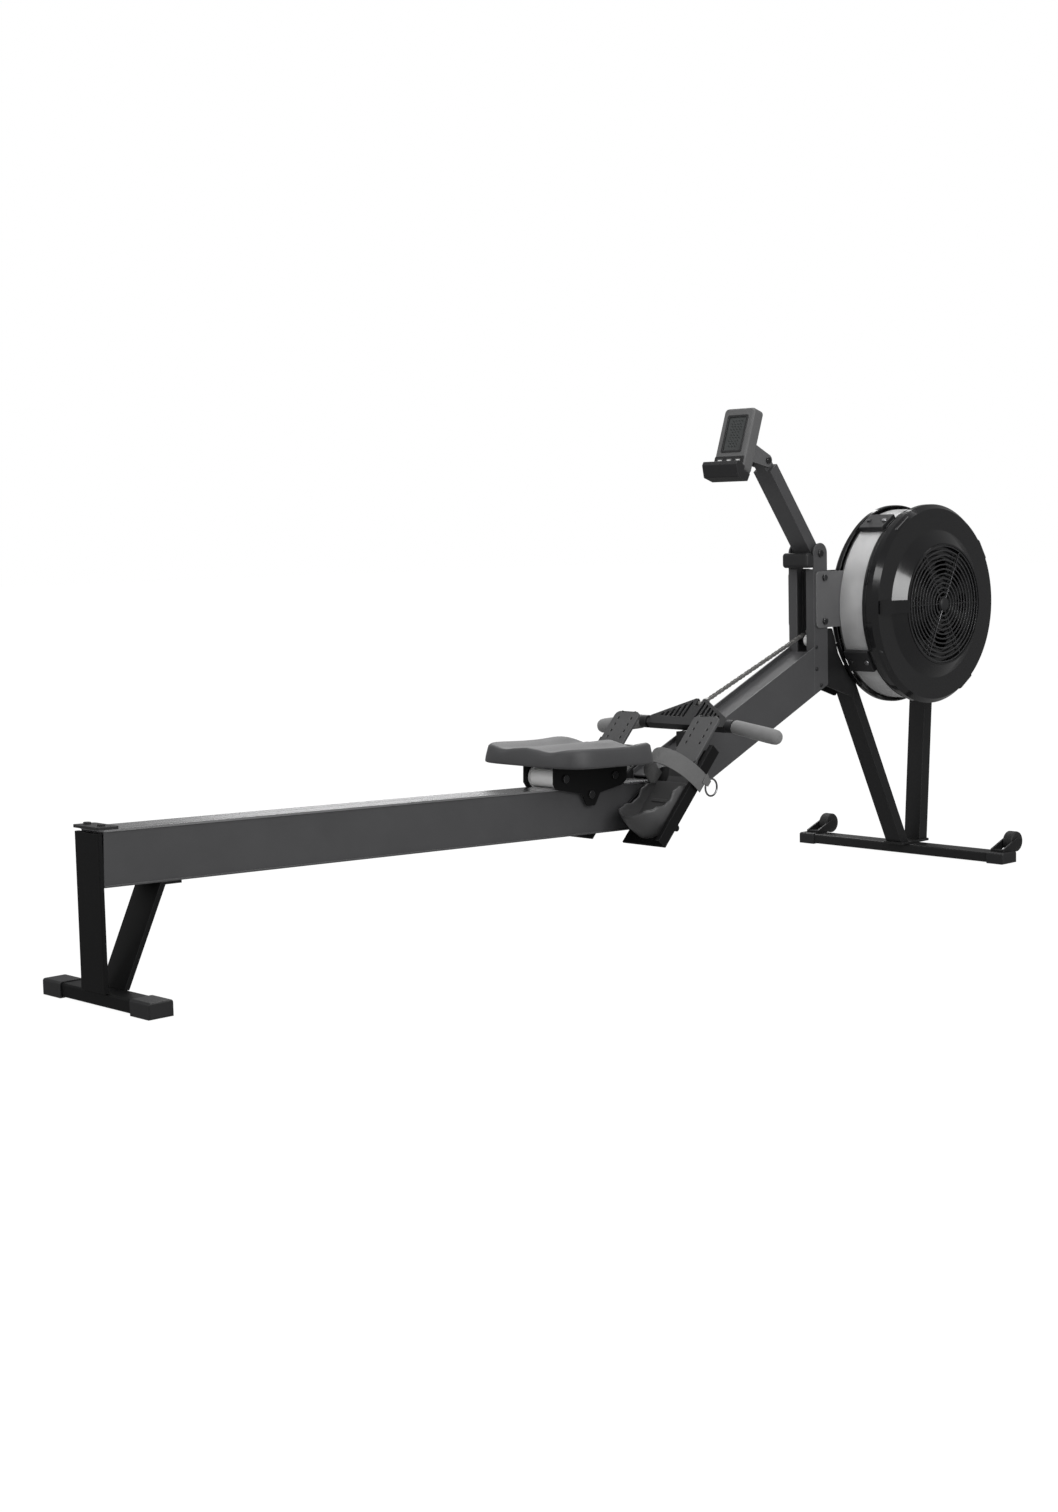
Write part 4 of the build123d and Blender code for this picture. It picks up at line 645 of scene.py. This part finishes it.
def link_mesh(verts, faces, centre, wide, half):
    """One pair of chain side plates with a waist, and the roller between them."""
    normal = Vector((-CHAIN_DIR.z, 0, CHAIN_DIR.x))
    count = 20
    for sign in (-1, 1):
        base = len(verts)
        for layer in (0, 1):
            for step in range(count):
                angle = 2 * math.pi * step / count
                along = math.cos(angle) * (PITCH / 2 + 0.0038)
                tall = math.sin(angle) * 0.0040 * (1 - 0.32 * math.exp(-((along / 0.0028) ** 2)))
                if abs(along) > PITCH / 2 - 0.001:
                    tall = math.copysign(min(abs(tall) * 1.25, 0.0038), tall)
                verts.append(centre + CHAIN_DIR * along + normal * tall
                             + Vector((0, sign * (wide + layer * half), 0)))
        for step in range(count):
            following = (step + 1) % count
            faces.append((base + step, base + following, base + count + following, base + count + step))
        faces.append(tuple(range(base, base + count))[::-1])
        faces.append(tuple(range(base + count, base + 2 * count)))
    base = len(verts)
    for y in (-wide, wide):
        for step in range(10):
            angle = 2 * math.pi * step / 10
            verts.append(centre + CHAIN_DIR * (0.0028 * math.cos(angle) - PITCH / 2)
                         + normal * 0.0028 * math.sin(angle) + Vector((0, y, 0)))
    for step in range(10):
        following = (step + 1) % 10
        faces.append((base + step, base + following, base + 10 + following, base + 10 + step))


def make_chain():
    tip = PIN + CHAIN_DIR * CHAIN_START
    span = (GATE - tip).length
    total = int(span / PITCH)
    for chunk in range(CHUNKS):
        verts, faces = [], []
        first, last = round(total * chunk / CHUNKS), round(total * (chunk + 1) / CHUNKS)
        for index in range(first, last):
            centre = PIN + CHAIN_DIR * (CHAIN_START + PITCH * (index + 0.5))
            outer = index % 2
            link_mesh(verts, faces, centre, 0.0030 - 0.0009 * (1 - outer), 0.0008)
        part = piece(f"chain_links_{chunk}", verts, faces, nickel, smooth=False)
        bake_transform(part)
        if chunk == 0:
            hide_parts("chain_run")


make_chain()

# ---- housing details --------------------------------------------------------------------
def around(angle, radius, y):
    """A point at an angle, in degrees from +X towards +Z, round the flywheel's axis."""
    a = math.radians(angle)
    return HUB + Vector((math.cos(a) * radius, y, math.sin(a) * radius))


def radial(angle):
    a = math.radians(angle)
    return Vector((math.cos(a), 0, math.sin(a))), Vector((-math.sin(a), 0, math.cos(a)))


def bolt(name, place, axis, radius, height, finish, body):
    profile = [(0, height), (radius * 0.42, height), (radius * 0.5, height * 0.72), (radius * 0.72, height),
               (radius * 0.93, height * 0.86), (radius, height * 0.4), (radius, 0), (0, 0)]
    head = lathe(name, profile, place, axis, finish, steps=24)
    held(head, body, "bolt_steel")


LUG_ANGLES, LUG_RADIUS, LUG_BOLT_RADIUS = (33, 123, 213, 303), 0.2275, 0.2335
for index, angle in enumerate(LUG_ANGLES):
    out, along = radial(angle)
    lug_place = around(angle, LUG_RADIUS, -0.131)
    lug = flat_shape(f"housing_lug_{index}", [rounded(0.029, 0.019, 0.007)], lug_place, along, (0, 1, 0),
                     0.0068, 0.0022, gloss)
    held(lug, "frame", "gloss_cover")
    bolt(f"lug_bolt_{index}", around(angle, LUG_BOLT_RADIUS, -0.100), out, 0.0062, 0.0045, zinc, "frame")
    bolt(f"lug_nut_{index}", around(angle, LUG_BOLT_RADIUS, -0.056), out, 0.0055, 0.0040, dark_bolt, "frame")
WIRE_HALF, WIRE_RADIUS, WIRE_ANGLE = 0.134, 0.0009, 63
wire_profile = [(0, -WIRE_HALF), (WIRE_RADIUS, -WIRE_HALF), (WIRE_RADIUS, WIRE_HALF), (0, WIRE_HALF)]
wire = lathe("grille_wire", wire_profile, around(0, 0, -0.1738), radial(WIRE_ANGLE)[0], zinc, steps=10)
held(wire, "frame", "bolt_steel")
cap = lathe("grille_cap", [(0, 0.0050), (0.009, 0.0046), (0.0158, 0.0026), (0.0170, 0.0), (0, 0)],
            around(0, 0, -0.1732), (0, -1, 0), plastic)
held(cap, "frame", "gloss_cover")
BEAD_STEPS, BEAD_SIDES, BEAD_RADIUS = 160, 6, 0.0012
for index, (radius, y) in enumerate(((0.2268, -0.1125), (0.2268, -0.1195))):
    verts, faces = [], []
    for step in range(BEAD_STEPS):
        out, _ = radial(step * 360 / BEAD_STEPS)
        for k in range(BEAD_SIDES):
            angle = 2 * math.pi * k / BEAD_SIDES
            across_bead = Vector((0, y + BEAD_RADIUS * math.sin(angle), 0))
            verts.append(HUB + out * (radius + BEAD_RADIUS * math.cos(angle)) + across_bead)
    for step in range(BEAD_STEPS):
        for k in range(BEAD_SIDES):
            a, b = step * BEAD_SIDES, (step + 1) % BEAD_STEPS * BEAD_SIDES
            following = (k + 1) % BEAD_SIDES
            faces.append((a + k, b + k, b + following, a + following))
    held(piece(f"rim_bead_{index}", verts, faces, gloss), "frame", "gloss_cover")

# ---- monitor details --------------------------------------------------------------------
LEAN = math.radians(19.2)
FACE = Vector((x_of(1674), 0, 0.921))
FACE_OUT = Vector((-math.cos(LEAN), 0, math.sin(LEAN)))
FACE_UP = Vector((math.sin(LEAN), 0, math.cos(LEAN)))
FACE_RIGHT = Vector((0, -1, 0))


def on_face(across, up, out=0.0):
    return FACE + FACE_RIGHT * across + FACE_UP * up + FACE_OUT * out


window = rounded(0.0245, 0.0385, 0.002, 4)
frame_outline = rounded(0.0295, 0.0435, 0.004, 6)
SCREEN_UP, KEYS_UP = 0.086, 0.024
held(flat_shape("screen_surround", [frame_outline, window], on_face(0, SCREEN_UP, 0.0001), FACE_RIGHT,
                FACE_UP, 0.0012, 0.0004, plastic), "monitor", "black_plastic")
marks = []
for row, (up, digits) in enumerate(((0.026, 4), (0.013, 4), (0.0, 3), (-0.013, 4), (-0.026, 3))):
    for digit in range(digits):
        left = (digit - (digits - 1) / 2) * 0.0085
        marks.append(rounded(0.0022, 0.0006, 0.0004, 2, (left, up + 0.0042)))
        marks.append(rounded(0.0022, 0.0006, 0.0004, 2, (left, up - 0.0042)))
        marks.append(rounded(0.0005, 0.0016, 0.0004, 2, (left + 0.0026, up + 0.0021)))
        marks.append(rounded(0.0005, 0.0016, 0.0004, 2, (left - 0.0026, up - 0.0021)))
held(flat_shape("screen_segments", marks, on_face(0, SCREEN_UP, -0.0008), FACE_RIGHT, FACE_UP, 0.0003, 0.0,
                lcd_mark), "monitor", "screen_glass")
for key, place in (("left", -0.026), ("middle", 0.0), ("right", 0.026)):
    held(flat_shape(f"key_mark_{key}", [rounded(0.0052, 0.0011, 0.0005, 3)], on_face(place, KEYS_UP, 0.0011),
                    FACE_RIGHT, FACE_UP, 0.0003, 0.0, key_white), f"key_{key}", "button_white")
openings = [rounded(0.0086, 0.0046, 0.001, 3, (place, 0)) for place in (-0.026, 0.0, 0.026)]
held(flat_shape("key_strip", [rounded(0.0425, 0.0095, 0.003, 5), *openings], on_face(0, KEYS_UP, 0.0001),
                FACE_RIGHT, FACE_UP, 0.0009, 0.0003, plastic), "monitor", "black_plastic")

# ---- small fasteners on the frame -------------------------------------------------------
for index, (station, z) in enumerate(((1934, 0.520), (1934, 0.470), (1950, 0.432))):
    place = Vector((x_of(station), -0.0371, z))
    bolt(f"rivet_{index}", place, (0, -1, 0), 0.0042, 0.0022, dark_bolt, "frame")
